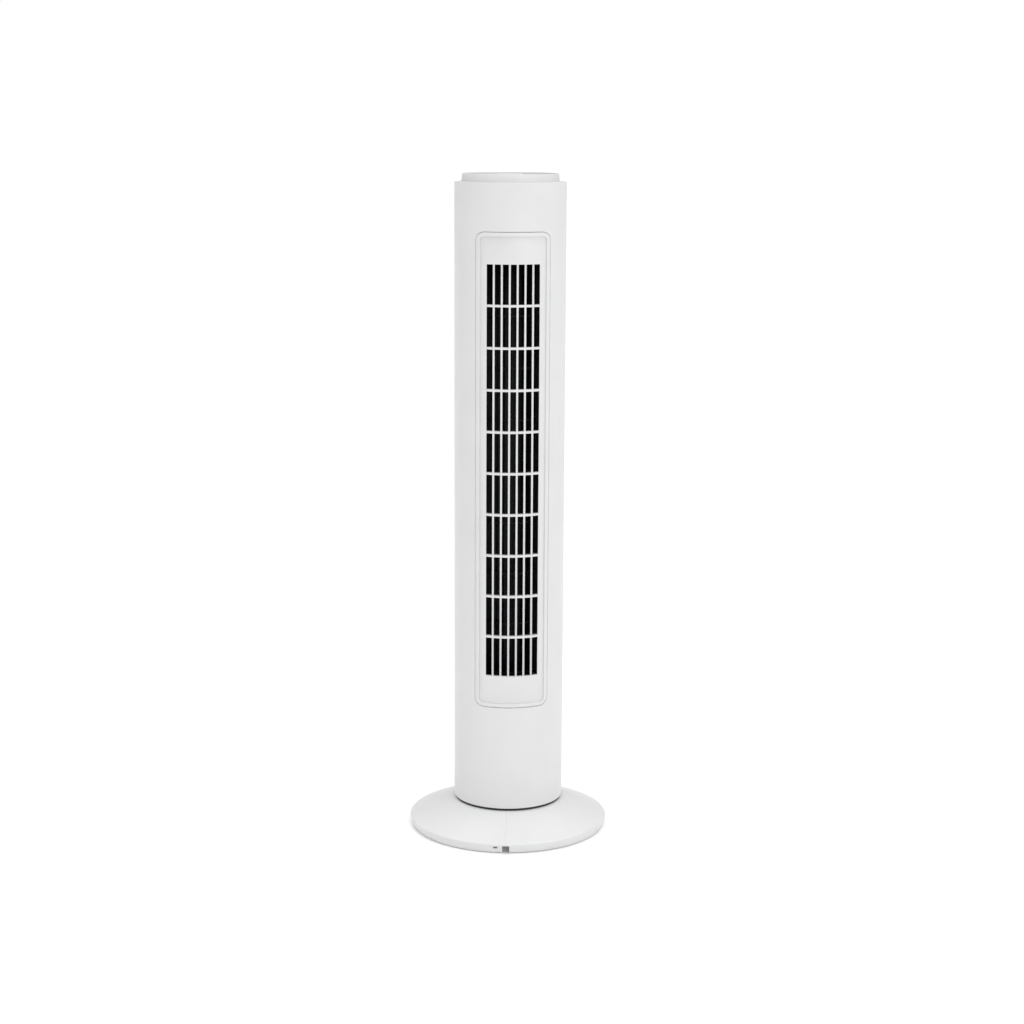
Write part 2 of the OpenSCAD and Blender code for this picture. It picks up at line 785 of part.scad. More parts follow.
// Turn angle of a point of the air guide and its distance from the impeller's axis
function guide_r(a) = wheel_r + guide_gap + (a - 150) * 0.1;
module air_guide() {
    steps = [for (i = [0 : 9]) 150 + i * 9.4];
    color("#3a3c3e") translate([0, 0, duct_bottom]) linear_extrude(duct_top - duct_bottom)
        polygon(concat(
            [for (a = steps) [guide_r(a) * cos(a), wheel_back + guide_r(a) * sin(a)]],
            [[-guide_edge_x, guide_edge_y], [-guide_edge_x - guide_t, guide_edge_y]],
            [for (i = [9 : -1 : 0]) let (a = steps[i], r = guide_r(a) + guide_t)
                [r * cos(a), wheel_back + r * sin(a)]]));
}

// Folded plate that parts the outlet from the intake on the other side
module vortex_tongue() {
    tip_r = wheel_r + tongue_gap;
    tip_x = tip_r * cos(-50);
    tip_y = wheel_back + tip_r * sin(-50);
    color("#3a3c3e") translate([0, 0, duct_bottom]) linear_extrude(duct_top - duct_bottom)
        polygon([[guide_edge_x, guide_edge_y], [tip_x, tip_y], [tip_x + 3, tip_y + 3.4],
            [wire_x + 6, wire_y + 9], [wire_x + 6, wire_y + 9 - guide_t],
            [tip_x + 4, tip_y + 1.6], [tip_x + guide_t, tip_y - 0.3],
            [guide_edge_x + guide_t, guide_edge_y]]);
}

// ---------------------------------------------------------------- Motor

module motor_plate() {
    color("#3a3c3e") difference() {
        cross_plate(duct_bottom - plate_t);
        translate([0, wheel_back, duct_bottom - plate_t - 1]) cylinder(r = shaft_r + 8, h = plate_t + 2);
        translate([0, wheel_back, duct_bottom - plate_t - 1]) around(3, 90) translate([mount_circle, 0, 0])
            cylinder(r = 1.8, h = plate_t + 2);
    }
}

module motor_mounts() {
    color("#202122") translate([0, wheel_back, motor_top]) around(3, 90) translate([mount_circle, 0, 0])
        ring(mount_r, 1.8, mount_h);
}

module motor_screws() {
    color("gray") translate([0, wheel_back, duct_bottom]) around(3, 90) translate([mount_circle, 0, 0])
        screw(3.2, 2, 1.6, plate_t + mount_h + shield_wall + 4);
}

// A deep cup with the bearing boss in the middle, mouth down
module shield() {
    difference() {
        union() {
            difference() {
                cylinder(r = motor_r, h = shield_h);
                translate([0, 0, -1]) cylinder(r = motor_r - shield_wall, h = shield_h - shield_wall + 1);
            }
            translate([0, 0, shield_h - shield_wall - 3]) cylinder(r = shaft_r + 4, h = 3 + shield_wall);
        }
        translate([0, 0, -1]) cylinder(r = shaft_r + shaft_gap, h = shield_h + 5);
        around(3, 90) translate([mount_circle, 0, -1]) cylinder(r = 1.6, h = shield_h + 2);
        around(8, 22.5) translate([motor_r * 0.52, 0, shield_h - shield_wall - 1])
            cylinder(r = 2.4, h = shield_wall + 2);
    }
}

module motor_shield_upper() {
    color("silver") translate([0, wheel_back, stack_top]) shield();
}

module motor_shield_lower() {
    color("silver") translate([0, wheel_back, stack_bottom]) mirror([0, 0, 1]) shield();
}

module stator() {
    color("#8a8f94") translate([0, wheel_back, stack_bottom]) difference() {
        ring(motor_r - 0.8, rotor_r + air_gap, stack_h);
        around(12) translate([rotor_r + 8, 0, -1]) cylinder(r = 2.2, h = stack_h + 2);
    }
}

module windings() {
    coil_h = shield_h - shield_wall - 5;
    color("#b5651d") translate([0, wheel_back, 0]) {
        translate([0, 0, stack_top]) ring(rotor_r + 9, rotor_r + 1, coil_h);
        translate([0, 0, stack_bottom - coil_h]) ring(rotor_r + 9, rotor_r + 1, coil_h);
        around(12) translate([rotor_r + 8, 0, stack_bottom - eps]) cylinder(r = 2.2, h = stack_h + 2 * eps);
    }
}

module rotor() {
    color("#6f757b") translate([0, wheel_back, stack_bottom + 1]) ring(rotor_r, shaft_r, stack_h - 2);
}

module motor_shaft() {
    color("silver") translate([0, wheel_back, motor_bottom - 5])
        cylinder(r = shaft_r, h = wheel_bottom + 14 - motor_bottom + 5);
}

module capacitor() {
    color("#e8e8e4") translate([-capacitor_w / 2, -capacitor_front, duct_bottom - plate_t - capacitor_h])
        cube([capacitor_w, capacitor_l, capacitor_h]);
}

// ---------------------------------------------------------------- Swing drive

module swing_bracket() {
    color("silver") translate([0, 0, bracket_z]) difference() {
        union() {
            cylinder(r = 30, h = bracket_t);
            around(3, 30) translate([0, -6, 0]) cube([post_circle + 4, 12, bracket_t]);
        }
        around(3, 30) translate([post_circle, 0, -1]) cylinder(r = 1.6, h = bracket_t + 2);
        translate([0, crank_back, -1]) cylinder(r = swing_shaft_r + 2, h = bracket_t + 2);
        translate([0, -16, -1]) cylinder(r = 7, h = bracket_t + 2);
    }
}

module bracket_screws() {
    color("gray") around(3, 30) translate([post_circle, 0, bracket_z + bracket_t]) screw(2.8, 1.8, 1.2, 10);
}

module swing_motor() {
    color("#c9ccd0") difference() {
        union() {
            translate([0, crank_back - swing_motor_offset, bracket_z + bracket_t])
                cylinder(r = swing_motor_r, h = swing_motor_h);
            translate([-8, crank_back - swing_motor_offset - swing_motor_r - 6, bracket_z + bracket_t])
                cube([16, 12, 9]);
        }
        translate([0, crank_back, bracket_z]) cylinder(r = swing_shaft_r + shaft_gap, h = 12);
    }
}

module swing_shaft() {
    color("silver") translate([0, crank_back, disc_z]) cylinder(r = swing_shaft_r, h = bracket_z + 10 - disc_z);
}

// Crank disc with its pin in the slot of the fixed arm, turned to the swing's rest
module swing_crank() {
    color("ivory") translate([0, crank_back, 0]) rotate([0, 0, crank_ratio * base_turn]) difference() {
        union() {
            translate([0, 0, disc_z]) cylinder(r = disc_r, h = disc_t);
            translate([0, crank_throw, arm_z - 1]) cylinder(r = pin_r, h = disc_z - arm_z + 1 + eps);
        }
        translate([0, 0, disc_z - 1]) cylinder(r = swing_shaft_r, h = disc_t + 2);
    }
}

// ---------------------------------------------------------------- Wiring

// Bundle of wires from the switches down to the motor, behind the grille's edge
module wire_harness() {
    top = bank_top - 8;
    bottom = stack_top - 4;
    color("#404448") {
        translate([wire_x, wire_y, bottom]) cylinder(r = wire_r, h = top - bottom);
        translate([wire_x, wire_y, top]) sphere(r = wire_r);
        translate([wire_x, wire_y, bottom]) sphere(r = wire_r);
    }
}

module lead_clamp() {
    color("#26282a") rotate([0, 0, 180]) translate([clamp_x, 0, column_z + cover_t]) difference() {
        translate([0, -clamp_w / 2, 0]) cube([clamp_l, clamp_w, 8]);
        translate([-1, 0, 0]) rotate([0, 90, 0]) cylinder(r = lead_r, h = clamp_l + 2);
    }
}

base_half_left();
base_half_right();
rubber_feet();
cord_grommet();
pivot_plate();
thrust_washer();
lock_nut();
swivel_retainer();
retainer_screws();
bottom_cover();
front_shell();
rear_shell();
shell_screws();
front_grille();
carry_handle();
top_cap();
control_panel();
switch_bank();
timer_body();
timer_spindle();
timer_knob();
key_0();
key_1();
key_2();
key_3();
swing_key();
bearing_plate();
bearing_bush();
stub_shaft();
impeller();
motor_shaft();
rotor();
stator();
windings();
motor_shield_upper();
motor_shield_lower();
motor_plate();
motor_mounts();
motor_screws();
capacitor();
swing_bracket();
bracket_screws();
swing_motor();
swing_shaft();
swing_crank();
air_guide();
vortex_tongue();
wire_harness();
lead_clamp();
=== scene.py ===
"""Looks of a tower fan: a white round column that swings on a two-piece round base.

Sizes are millimetres until a mesh is made, which scales them to metres.
Angles on the column are measured from the front, -Y, towards +X.
"""

import json
import math

import bmesh
import bpy
from mathutils import Matrix, Vector


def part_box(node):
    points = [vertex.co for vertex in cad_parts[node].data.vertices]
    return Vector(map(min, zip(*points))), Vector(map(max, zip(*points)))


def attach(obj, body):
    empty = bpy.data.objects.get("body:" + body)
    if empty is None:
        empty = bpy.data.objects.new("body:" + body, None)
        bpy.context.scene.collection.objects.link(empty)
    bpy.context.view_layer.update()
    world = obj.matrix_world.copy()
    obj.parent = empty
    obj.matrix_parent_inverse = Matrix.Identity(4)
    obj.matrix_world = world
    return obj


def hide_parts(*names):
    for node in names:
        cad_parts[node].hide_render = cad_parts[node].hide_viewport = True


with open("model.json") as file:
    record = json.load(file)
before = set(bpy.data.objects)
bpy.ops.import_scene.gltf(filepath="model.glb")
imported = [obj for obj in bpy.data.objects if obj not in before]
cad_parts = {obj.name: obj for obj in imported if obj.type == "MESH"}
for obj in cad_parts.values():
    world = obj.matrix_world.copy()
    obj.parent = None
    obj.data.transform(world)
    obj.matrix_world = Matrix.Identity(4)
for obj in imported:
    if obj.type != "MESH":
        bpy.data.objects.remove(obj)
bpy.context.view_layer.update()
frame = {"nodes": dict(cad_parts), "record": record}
nodes = frame["nodes"]

MM = 0.001


def box_mm(node):
    """Lowest and highest corners of a CAD node, in millimetres."""
    low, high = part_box(node)
    return [v / MM for v in low], [v / MM for v in high]


# ------------------------------------------------------------------ main sizes, from the frame where it tells

shell_low, shell_high = box_mm("front_shell")
COLUMN_R = (shell_high[0] - shell_low[0]) / 2
COLUMN_BOTTOM = shell_low[2]
COLUMN_TOP = shell_high[2]
SEAM_Y = shell_high[1]
SHELL_WALL = 2.6

BASE_R = 115.0
BASE_TOP = box_mm("base_half_left")[1][2]
BASE_TURN = -4.8  # degrees, the base's turn about the column's axis

cap_low, cap_high = box_mm("top_cap")
COLLAR_TOP = cap_high[2]
COLLAR_R = 55.0
COLLAR_DRAFT = 0.8
CAP_R = (cap_high[0] - cap_low[0]) / 2

wheel_low, wheel_high = box_mm("impeller")
WHEEL_R = (wheel_high[0] - wheel_low[0]) / 2
WHEEL_Y = (wheel_high[1] + wheel_low[1]) / 2
WHEEL_BOTTOM = wheel_low[2]
WHEEL_TOP = wheel_high[2]

# ------------------------------------------------------------------ camera, floor and light

CAMERA_TURN = math.radians(-3.7)
CAMERA_SIDE_AIM = -0.00141
CAMERA_DISTANCE = 2.35
CAMERA_HEIGHT = 0.82
CAMERA_DOWN = math.radians(10.8)
CAMERA_ROLL = 0.0047
CAMERA_LENS = 73.1

SURROUND_LIGHT = 0.46  # what the white surroundings shed; they look fully white themselves
KEY_PLACE = (1.1, -2.2, 2.0)
KEY_AIM = (0, 0, 0.4)
KEY_SIZE = (1.4, 1.8)
KEY_POWER = 14
CEILING_LIGHT = 1.85
CEILING_SPREAD = math.radians(80)
FLOOR_HALF = 30.0
FLOOR_WHITE = 0.95
FLOOR_GLOW = 0.08


def place_camera():
    """A long lens a little above the fan's top, looking down at it."""
    data = bpy.data.cameras.new("studio_camera")
    data.lens = CAMERA_LENS
    data.sensor_width = 36
    camera = bpy.data.objects.new("studio_camera", data)
    bpy.context.collection.objects.link(camera)
    camera.location = (
        math.sin(CAMERA_TURN) * CAMERA_DISTANCE,
        -math.cos(CAMERA_TURN) * CAMERA_DISTANCE,
        CAMERA_HEIGHT,
    )
    facing = Matrix.Rotation(CAMERA_TURN + CAMERA_SIDE_AIM, 4, "Z")
    facing = facing @ Matrix.Rotation(math.pi / 2 - CAMERA_DOWN, 4, "X")
    camera.rotation_euler = (facing @ Matrix.Rotation(CAMERA_ROLL, 4, "Z")).to_euler()
    bpy.context.scene.camera = camera


def area_light(name, place, aim, size, power):
    """A soft box at place, facing aim."""
    data = bpy.data.lights.new(name, "AREA")
    data.shape = "RECTANGLE"
    data.size, data.size_y = size
    data.energy = power
    light = bpy.data.objects.new(name, data)
    bpy.context.collection.objects.link(light)
    light.location = place
    light.rotation_euler = (Vector(aim) - Vector(place)).to_track_quat("-Z", "Y").to_euler()


def light_studio():
    """White surroundings, soft light from above and a large key in front, to the right."""
    world = bpy.data.worlds.new("studio_white")
    world.use_nodes = True
    tree = world.node_tree
    background = tree.nodes["Background"]
    background.inputs["Color"].default_value = (1.0, 1.0, 1.0, 1.0)
    path = tree.nodes.new("ShaderNodeLightPath")
    level = tree.nodes.new("ShaderNodeMapRange")
    level.inputs["To Min"].default_value = SURROUND_LIGHT
    level.inputs["To Max"].default_value = 1.0
    tree.links.new(path.outputs["Is Camera Ray"], level.inputs["Value"])
    tree.links.new(level.outputs["Result"], background.inputs["Strength"])
    bpy.context.scene.world = world
    bpy.context.scene.view_settings.view_transform = "Standard"
    area_light("key_right", KEY_PLACE, KEY_AIM, KEY_SIZE, KEY_POWER)
    ceiling = bpy.data.lights.new("ceiling", "SUN")
    ceiling.energy = CEILING_LIGHT
    ceiling.angle = CEILING_SPREAD
    bpy.context.collection.objects.link(bpy.data.objects.new("ceiling", ceiling))


def lay_floor():
    """A plain pale sheet under the fan."""
    mesh = bpy.data.meshes.new("studio_floor")
    corners = [(sx * FLOOR_HALF, sy * FLOOR_HALF, 0) for sx, sy in ((-1, -1), (1, -1), (1, 1), (-1, 1))]
    mesh.from_pydata(corners, [], [(0, 1, 2, 3)])
    floor = bpy.data.objects.new("studio_floor", mesh)
    bpy.context.collection.objects.link(floor)
    paint = bpy.data.materials.new("floor_paper")
    paint.use_nodes = True
    shader = paint.node_tree.nodes["Principled BSDF"]
    shader.inputs["Base Color"].default_value = (FLOOR_WHITE, FLOOR_WHITE, FLOOR_WHITE, 1)
    shader.inputs["Roughness"].default_value = 0.9
    shader.inputs["Specular IOR Level"].default_value = 0.1
    shader.inputs["Emission Color"].default_value = (1, 1, 1, 1)
    shader.inputs["Emission Strength"].default_value = FLOOR_GLOW
    mesh.materials.append(paint)


# ------------------------------------------------------------------ finishes


class Finish:
    """A material under construction: nodes on Object coordinates around one Principled shader."""

    def __init__(self, name):
        self.material = bpy.data.materials.new(name)
        self.material.use_nodes = True
        self.tree = self.material.node_tree
        self.shader = self.tree.nodes["Principled BSDF"]
        self.coords = self.tree.nodes.new("ShaderNodeTexCoord").outputs["Object"]

    def node(self, kind, **values):
        made = self.tree.nodes.new(kind)
        for key, value in values.items():
            setattr(made, key, value)
        return made

    def link(self, source, target):
        self.tree.links.new(source, target)

    def scaled(self, scale):
        """Object coordinates stretched by a factor for each axis."""
        mapping = self.node("ShaderNodeMapping")
        mapping.inputs["Scale"].default_value = scale
        self.link(self.coords, mapping.inputs["Vector"])
        return mapping.outputs["Vector"]

    def speckle(self, size_mm, detail=2.0, roughness=0.5, stretch=(1, 1, 1)):
        """Noise whose grains are about size_mm across."""
        texture = self.node("ShaderNodeTexNoise")
        texture.inputs["Scale"].default_value = 1.0
        texture.inputs["Detail"].default_value = detail
        texture.inputs["Roughness"].default_value = roughness
        factor = 1.0 / (size_mm * MM)
        self.link(self.scaled([factor * s for s in stretch]), texture.inputs["Vector"])
        return texture.outputs["Fac"]

    def spread(self, source, low, high, from_low=0.3, from_high=0.7):
        """source's middle range laid onto low to high."""
        ramp = self.node("ShaderNodeMapRange")
        ramp.inputs["From Min"].default_value = from_low
        ramp.inputs["From Max"].default_value = from_high
        ramp.inputs["To Min"].default_value = low
        ramp.inputs["To Max"].default_value = high
        self.link(source, ramp.inputs["Value"])
        return ramp.outputs["Result"]

    def tint(self, factor, first, second):
        """Colour between first and second."""
        mix = self.node("ShaderNodeMix", data_type="RGBA")
        mix.inputs["A"].default_value = (*first, 1)
        mix.inputs["B"].default_value = (*second, 1)
        self.link(factor, mix.inputs["Factor"])
        return mix.outputs["Result"]

    def bump(self, height, depth_mm, below=None):
        """Surface relief of depth_mm, on top of another relief where one is given."""
        relief = self.node("ShaderNodeBump")
        relief.inputs["Distance"].default_value = depth_mm * MM
        relief.inputs["Strength"].default_value = 1.0
        self.link(height, relief.inputs["Height"])
        if below is not None:
            self.link(below, relief.inputs["Normal"])
        return relief.outputs["Normal"]

    def use(self, colour=None, roughness=None, normal=None, metallic=None):
        """Links what is given to the shader and hands over the finished material."""
        for socket, value in (("Base Color", colour), ("Roughness", roughness), ("Normal", normal)):
            if value is not None:
                self.link(value, self.shader.inputs[socket])
        if metallic is not None:
            self.shader.inputs["Metallic"].default_value = metallic
        return self.material


def moulded_plastic(
    name, colour, shade, rough=(0.34, 0.44), grain_mm=0.9, grain_depth=0.012, coat=0.0, gloss=0.5
):
    """Injection-moulded plastic: faint cloudiness, spark-eroded grain, slow waves of the tool's polish."""
    f = Finish(name)
    cloud = f.spread(f.speckle(38, detail=3.0), 0.0, 1.0)
    grain = f.speckle(grain_mm, detail=2.0)
    wave = f.speckle(55, detail=1.0)
    handled = f.speckle(14, detail=4.0, roughness=0.6)
    relief = f.bump(wave, grain_depth * 4)
    relief = f.bump(grain, grain_depth, relief)
    f.shader.inputs["IOR"].default_value = 1.5
    f.shader.inputs["Specular IOR Level"].default_value = gloss
    if coat:
        f.shader.inputs["Coat Weight"].default_value = coat
        f.shader.inputs["Coat Roughness"].default_value = 0.12
    return f.use(f.tint(cloud, colour, shade), f.spread(handled, *rough), relief)


def rubber(name, colour):
    """Dark rubber with a dusty bloom and a fine moulded grain."""
    f = Finish(name)
    dust = f.spread(f.speckle(9, detail=5.0, roughness=0.65), 0.0, 1.0, 0.45, 0.75)
    pale = [min(1.0, c * 2.2 + 0.01) for c in colour]
    return f.use(f.tint(dust, colour, pale), f.spread(dust, 0.62, 0.85, 0, 1), f.bump(f.speckle(0.6), 0.03))


def metal(name, colour, rough=(0.22, 0.4), stretch=(1, 1, 14), scratch_mm=3.0):
    """Worked metal with fine drawn lines across stretch's long axis."""
    f = Finish(name)
    lines = f.speckle(scratch_mm, detail=4.0, roughness=0.7, stretch=stretch)
    cloud = f.spread(f.speckle(11, detail=3.0), 0.0, 1.0)
    dull = [c * 0.82 for c in colour]
    return f.use(f.tint(cloud, colour, dull), f.spread(lines, *rough), f.bump(lines, 0.012), metallic=1.0)


def laminations(name):
    """Stacked steel sheets half a millimetre thick, seen on their edges."""
    f = Finish(name)
    bands = f.node("ShaderNodeTexWave", wave_type="BANDS", bands_direction="Z")
    bands.inputs["Scale"].default_value = 620
    bands.inputs["Distortion"].default_value = 0.3
    f.link(f.coords, bands.inputs["Vector"])
    rust = f.spread(f.speckle(7, detail=5.0), 0.0, 1.0, 0.5, 0.72)
    return f.use(
        f.tint(rust, (0.24, 0.25, 0.27), (0.20, 0.14, 0.10)),
        f.spread(bands.outputs["Fac"], 0.35, 0.6, 0, 1),
        f.bump(bands.outputs["Fac"], 0.08),
        metallic=0.8,
    )


def wound_wire(name):
    """Enamelled copper wire laid side by side round the coil."""
    f = Finish(name)
    turns = f.node("ShaderNodeTexWave", wave_type="BANDS", bands_direction="Z")
    turns.inputs["Scale"].default_value = 420
    turns.inputs["Distortion"].default_value = 2.0
    turns.inputs["Detail"].default_value = 2.0
    f.link(f.coords, turns.inputs["Vector"])
    varnish = f.spread(f.speckle(5, detail=4.0), 0.0, 1.0)
    return f.use(
        f.tint(varnish, (0.50, 0.20, 0.07), (0.28, 0.09, 0.03)),
        f.spread(turns.outputs["Fac"], 0.2, 0.45, 0, 1),
        f.bump(turns.outputs["Fac"], 0.25),
        metallic=0.85,
    )


WHITE = (0.80, 0.80, 0.805)
WHITE_SHADE = (0.775, 0.777, 0.785)


def make_finishes():
    """One finish for each of the record's slots."""
    plastic = moulded_plastic
    return {
        "shell_white": plastic("white_satin_abs", WHITE, WHITE_SHADE),
        "panel_grey": plastic(
            "panel_light_grey", (0.60, 0.61, 0.62), (0.57, 0.58, 0.59), (0.5, 0.62), 0.6, 0.03
        ),
        "key_white": plastic(
            "key_white_gloss", (0.83, 0.83, 0.83), (0.80, 0.80, 0.80), (0.2, 0.3), 1.2, 0.006, 0.3
        ),
        "key_grey": plastic(
            "key_grey_gloss", (0.40, 0.41, 0.43), (0.37, 0.38, 0.40), (0.22, 0.32), 1.2, 0.006, 0.3
        ),
        "knob_white": plastic(
            "knob_white_gloss", (0.81, 0.81, 0.815), (0.78, 0.78, 0.79), (0.24, 0.34), 1.2, 0.006, 0.2
        ),
        "rubber_dark": rubber("dark_rubber", (0.035, 0.035, 0.037)),
        # Painted shade: the swivel parts are made black so the gap between column and base shows as a dark
        # shadow line.
        "swivel_black": plastic(
            "black_painted_gap_shade", (0.022, 0.022, 0.024), (0.03, 0.03, 0.032), (0.4, 0.55), 0.8, 0.02
        ),
        "acetal": plastic("natural_acetal", (0.74, 0.71, 0.62), (0.70, 0.66, 0.57), (0.28, 0.4), 1.4, 0.01),
        "wheel_black": plastic(
            "black_wheel_plastic", (0.010, 0.010, 0.011), (0.014, 0.014, 0.015), (0.55, 0.7), 0.8, 0.02,
            gloss=0.15,
        ),
        "duct_dark": plastic(
            "dark_duct_plastic", (0.014, 0.0145, 0.015), (0.019, 0.019, 0.02), (0.6, 0.8), 0.7, 0.03,
            gloss=0.12,
        ),
        "zinc": metal("zinc_plate", (0.62, 0.63, 0.64), (0.28, 0.45)),
        "steel": metal("ground_steel", (0.56, 0.57, 0.58), (0.15, 0.3), (1, 1, 20)),
        "bronze": metal("sintered_bronze", (0.55, 0.36, 0.18), (0.4, 0.55), (1, 1, 1), 0.6),
        "shield_alu": metal("pressed_aluminium", (0.60, 0.61, 0.62), (0.35, 0.5), (1, 1, 1), 1.5),
        "lamination": laminations("stacked_laminations"),
        "copper": wound_wire("enamelled_copper"),
        "switch_dark": plastic(
            "dark_switch_case", (0.045, 0.047, 0.05), (0.055, 0.057, 0.06), (0.45, 0.6), 0.7, 0.02
        ),
        "timer_cream": plastic(
            "cream_timer_case", (0.62, 0.57, 0.43), (0.58, 0.53, 0.39), (0.4, 0.55), 0.9, 0.02
        ),
        "capacitor_white": plastic(
            "white_film_case", (0.72, 0.72, 0.70), (0.68, 0.68, 0.66), (0.35, 0.5), 1.0, 0.02
        ),
        "wire_sleeve": rubber("black_wire_sleeve", (0.03, 0.032, 0.036)),
    }


finishes = make_finishes()
slot_of = {s["node"]: s["material_slot"] for s in frame["record"]["subparts"]}
body_of = {n: body for body, names in frame["record"]["behaviour"]["bodies"].items() for n in names}


def finish_cad_nodes():
    """Every carried-over node takes its slot's finish."""
    for name, thing in nodes.items():
        thing.data.materials.clear()
        thing.data.materials.append(finishes[slot_of[name]])


def add_piece(name, mesh, slot_name, body, replaced=()):
    """Puts a finished mesh in the scene, on its body and with its slot's finish."""
    thing = bpy.data.objects.new(name, mesh)
    bpy.context.collection.objects.link(thing)
    if not mesh.materials:
        mesh.materials.append(finishes[slot_name])
    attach(thing, body)
    if replaced:
        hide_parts(*replaced)
    return thing


# ------------------------------------------------------------------ mesh helpers


def plain_mesh(name, bm):
    """A smooth-shaded mesh in metres from millimetre geometry, seams closed and faces turned outwards."""
    bmesh.ops.remove_doubles(bm, verts=bm.verts, dist=0.002)
    bmesh.ops.recalc_face_normals(bm, faces=bm.faces)
    for face in bm.faces:
        face.smooth = True
    mesh = bpy.data.meshes.new(name)
    bm.to_mesh(mesh)
    bm.free()
    mesh.transform(Matrix.Scale(MM, 4))
    return mesh


def worked_in(thing):
    """The thing's mesh with its modifiers worked in; the thing itself goes."""
    bpy.context.view_layer.update()
    depsgraph = bpy.context.evaluated_depsgraph_get()
    mesh = bpy.data.meshes.new_from_object(thing.evaluated_get(depsgraph))
    bpy.data.objects.remove(thing)
    return mesh


def scratch_object(name, mesh):
    """A helper in the scene, which worked_in takes out again."""
    thing = bpy.data.objects.new(name, mesh)
    bpy.context.collection.objects.link(thing)
    return thing


def cut_away(mesh, cutter_bm):
    """mesh without what lies inside the cutter's closed shapes."""
    thing = scratch_object("work", mesh)
    cutter = scratch_object("cutter", plain_mesh("cutter", cutter_bm))
    cut = thing.modifiers.new("cut", "BOOLEAN")
    cut.operation = "DIFFERENCE"
    cut.solver = "EXACT"
    cut.object = cutter
    result = worked_in(thing)
    bpy.data.objects.remove(cutter)
    return result


def round_edges(thing, radius_mm, segments=3, angle=32):
    """Rounds every edge sharper than angle, as a mould does."""
    bevel = thing.modifiers.new("rounded_edges", "BEVEL")
    bevel.width = radius_mm * MM
    bevel.segments = segments
    bevel.limit_method = "ANGLE"
    bevel.angle_limit = math.radians(angle)
    bevel.use_clamp_overlap = True
    bevel.harden_normals = True


def softened(node, radius_mm, segments=2, angle=32):
    """A CAD node's shape with its sharp edges rounded, in place of the node."""
    bm = bmesh.new()
    bm.from_mesh(nodes[node].data)
    bmesh.ops.remove_doubles(bm, verts=bm.verts, dist=2e-6)
    bmesh.ops.dissolve_limit(bm, angle_limit=math.radians(0.4), verts=bm.verts, edges=bm.edges)
    for face in bm.faces:
        face.smooth = True
    mesh = bpy.data.meshes.new(node + "_body")
    bm.to_mesh(mesh)
    bm.free()
    thing = add_piece(node + "_body", mesh, slot_of[node], body_of[node], [node])
    round_edges(thing, radius_mm, segments, angle)
    return thing


def skin(bm, loops, closed=False):
    """Faces between closed loops that have the same number of points."""
    rings = [[bm.verts.new(point) for point in loop] for loop in loops]
    pairs = list(zip(rings, rings[1:]))
    if closed:
        pairs.append((rings[-1], rings[0]))
    for first, second in pairs:
        for i in range(len(first)):
            j = (i + 1) % len(first)
            bm.faces.new((first[i], first[j], second[j], second[i]))
    return rings


def stacked(bm, loops):
    """A closed shape through a stack of loops, capped at both ends."""
    rings = skin(bm, loops)
    bm.faces.new(rings[0])
    bm.faces.new(rings[-1])


def stacked_mesh(name, loops):
    """One stacked shape as a mesh of its own."""
    bm = bmesh.new()
    stacked(bm, loops)
    return plain_mesh(name, bm)


def revolved(profile, steps=96, first=0.0, sweep=360.0, centre=(0, 0)):
    """A closed (radius, height) profile turned about an upright axis through centre."""
    bm = bmesh.new()
    whole = abs(sweep - 360) < 1e-6
    turns = [first + sweep * i / steps for i in range(steps if whole else steps + 1)]
    sections = []
    for turn in turns:
        c, s = math.cos(math.radians(turn)), math.sin(math.radians(turn))
        sections.append([(centre[0] + r * c, centre[1] + r * s, z) for r, z in profile])
    if whole:
        skin(bm, sections, closed=True)
    else:
        stacked(bm, sections)
    return bm


def filleted(corners, steps=4):
    """An outline through (x, y, radius) corners, each rounded by its radius."""
    points = []
    count = len(corners)
    for i, (x, y, radius) in enumerate(corners):
        here = Vector((x, y))
        before = Vector(corners[i - 1][:2]) - here
        after = Vector(corners[(i + 1) % count][:2]) - here
        if radius <= 0:
            points.append((x, y))
            continue
        half = before.angle(after) / 2
        back = min(radius / math.tan(half), before.length * 0.49, after.length * 0.49)
        real = back * math.tan(half)
        centre = here + (before.normalized() + after.normalized()).normalized() * real / math.sin(half)
        start = here + before.normalized() * back - centre
        end = here + after.normalized() * back - centre
        swing = start.angle_signed(end)
        for k in range(steps + 1):
            arm = start.copy()
            arm.rotate(Matrix.Rotation(-swing * k / steps, 2))
            points.append(tuple(centre + arm))
    return points


def rounded_rectangle(half_w, half_l, corner, across=1, along=1, arc_steps=6):
    """Points anticlockwise round a rectangle with rounded corners, the same count whatever its size."""
    points = []
    arms = ((1, -1, -90), (1, 1, 0), (-1, 1, 90), (-1, -1, 180))
    for k, (sx, sy, start) in enumerate(arms):
        cx, cy = sx * (half_w - corner), sy * (half_l - corner)
        arc = [
            (cx + corner * math.cos(math.radians(start + 90 * i / arc_steps)),
             cy + corner * math.sin(math.radians(start + 90 * i / arc_steps)))
            for i in range(arc_steps + 1)
        ]
        points += arc
        nx, ny, turn = arms[(k + 1) % 4]
        ncx, ncy = nx * (half_w - corner), ny * (half_l - corner)
        turn = math.radians(turn)
        end = (ncx + corner * math.cos(turn), ncy + corner * math.sin(turn))
        parts = along if k % 2 == 0 else across
        for i in range(1, parts):
            t = i / parts
            points.append((arc[-1][0] * (1 - t) + end[0] * t, arc[-1][1] * (1 - t) + end[1] * t))
    return points


def box_into(bm, low, high, turn=0.0):
    """A closed block between two corners, turned about the Z axis."""
    made = bmesh.ops.create_cube(bm, size=1.0)["verts"]
    middle = [(a + b) / 2 for a, b in zip(low, high)]
    size = [b - a for a, b in zip(low, high)]
    turned = Matrix.Rotation(math.radians(turn), 4, "Z")
    place = turned @ Matrix.Translation(middle) @ Matrix.Diagonal((*size, 1))
    bmesh.ops.transform(bm, matrix=place, verts=made)


# ------------------------------------------------------------------ what repeats


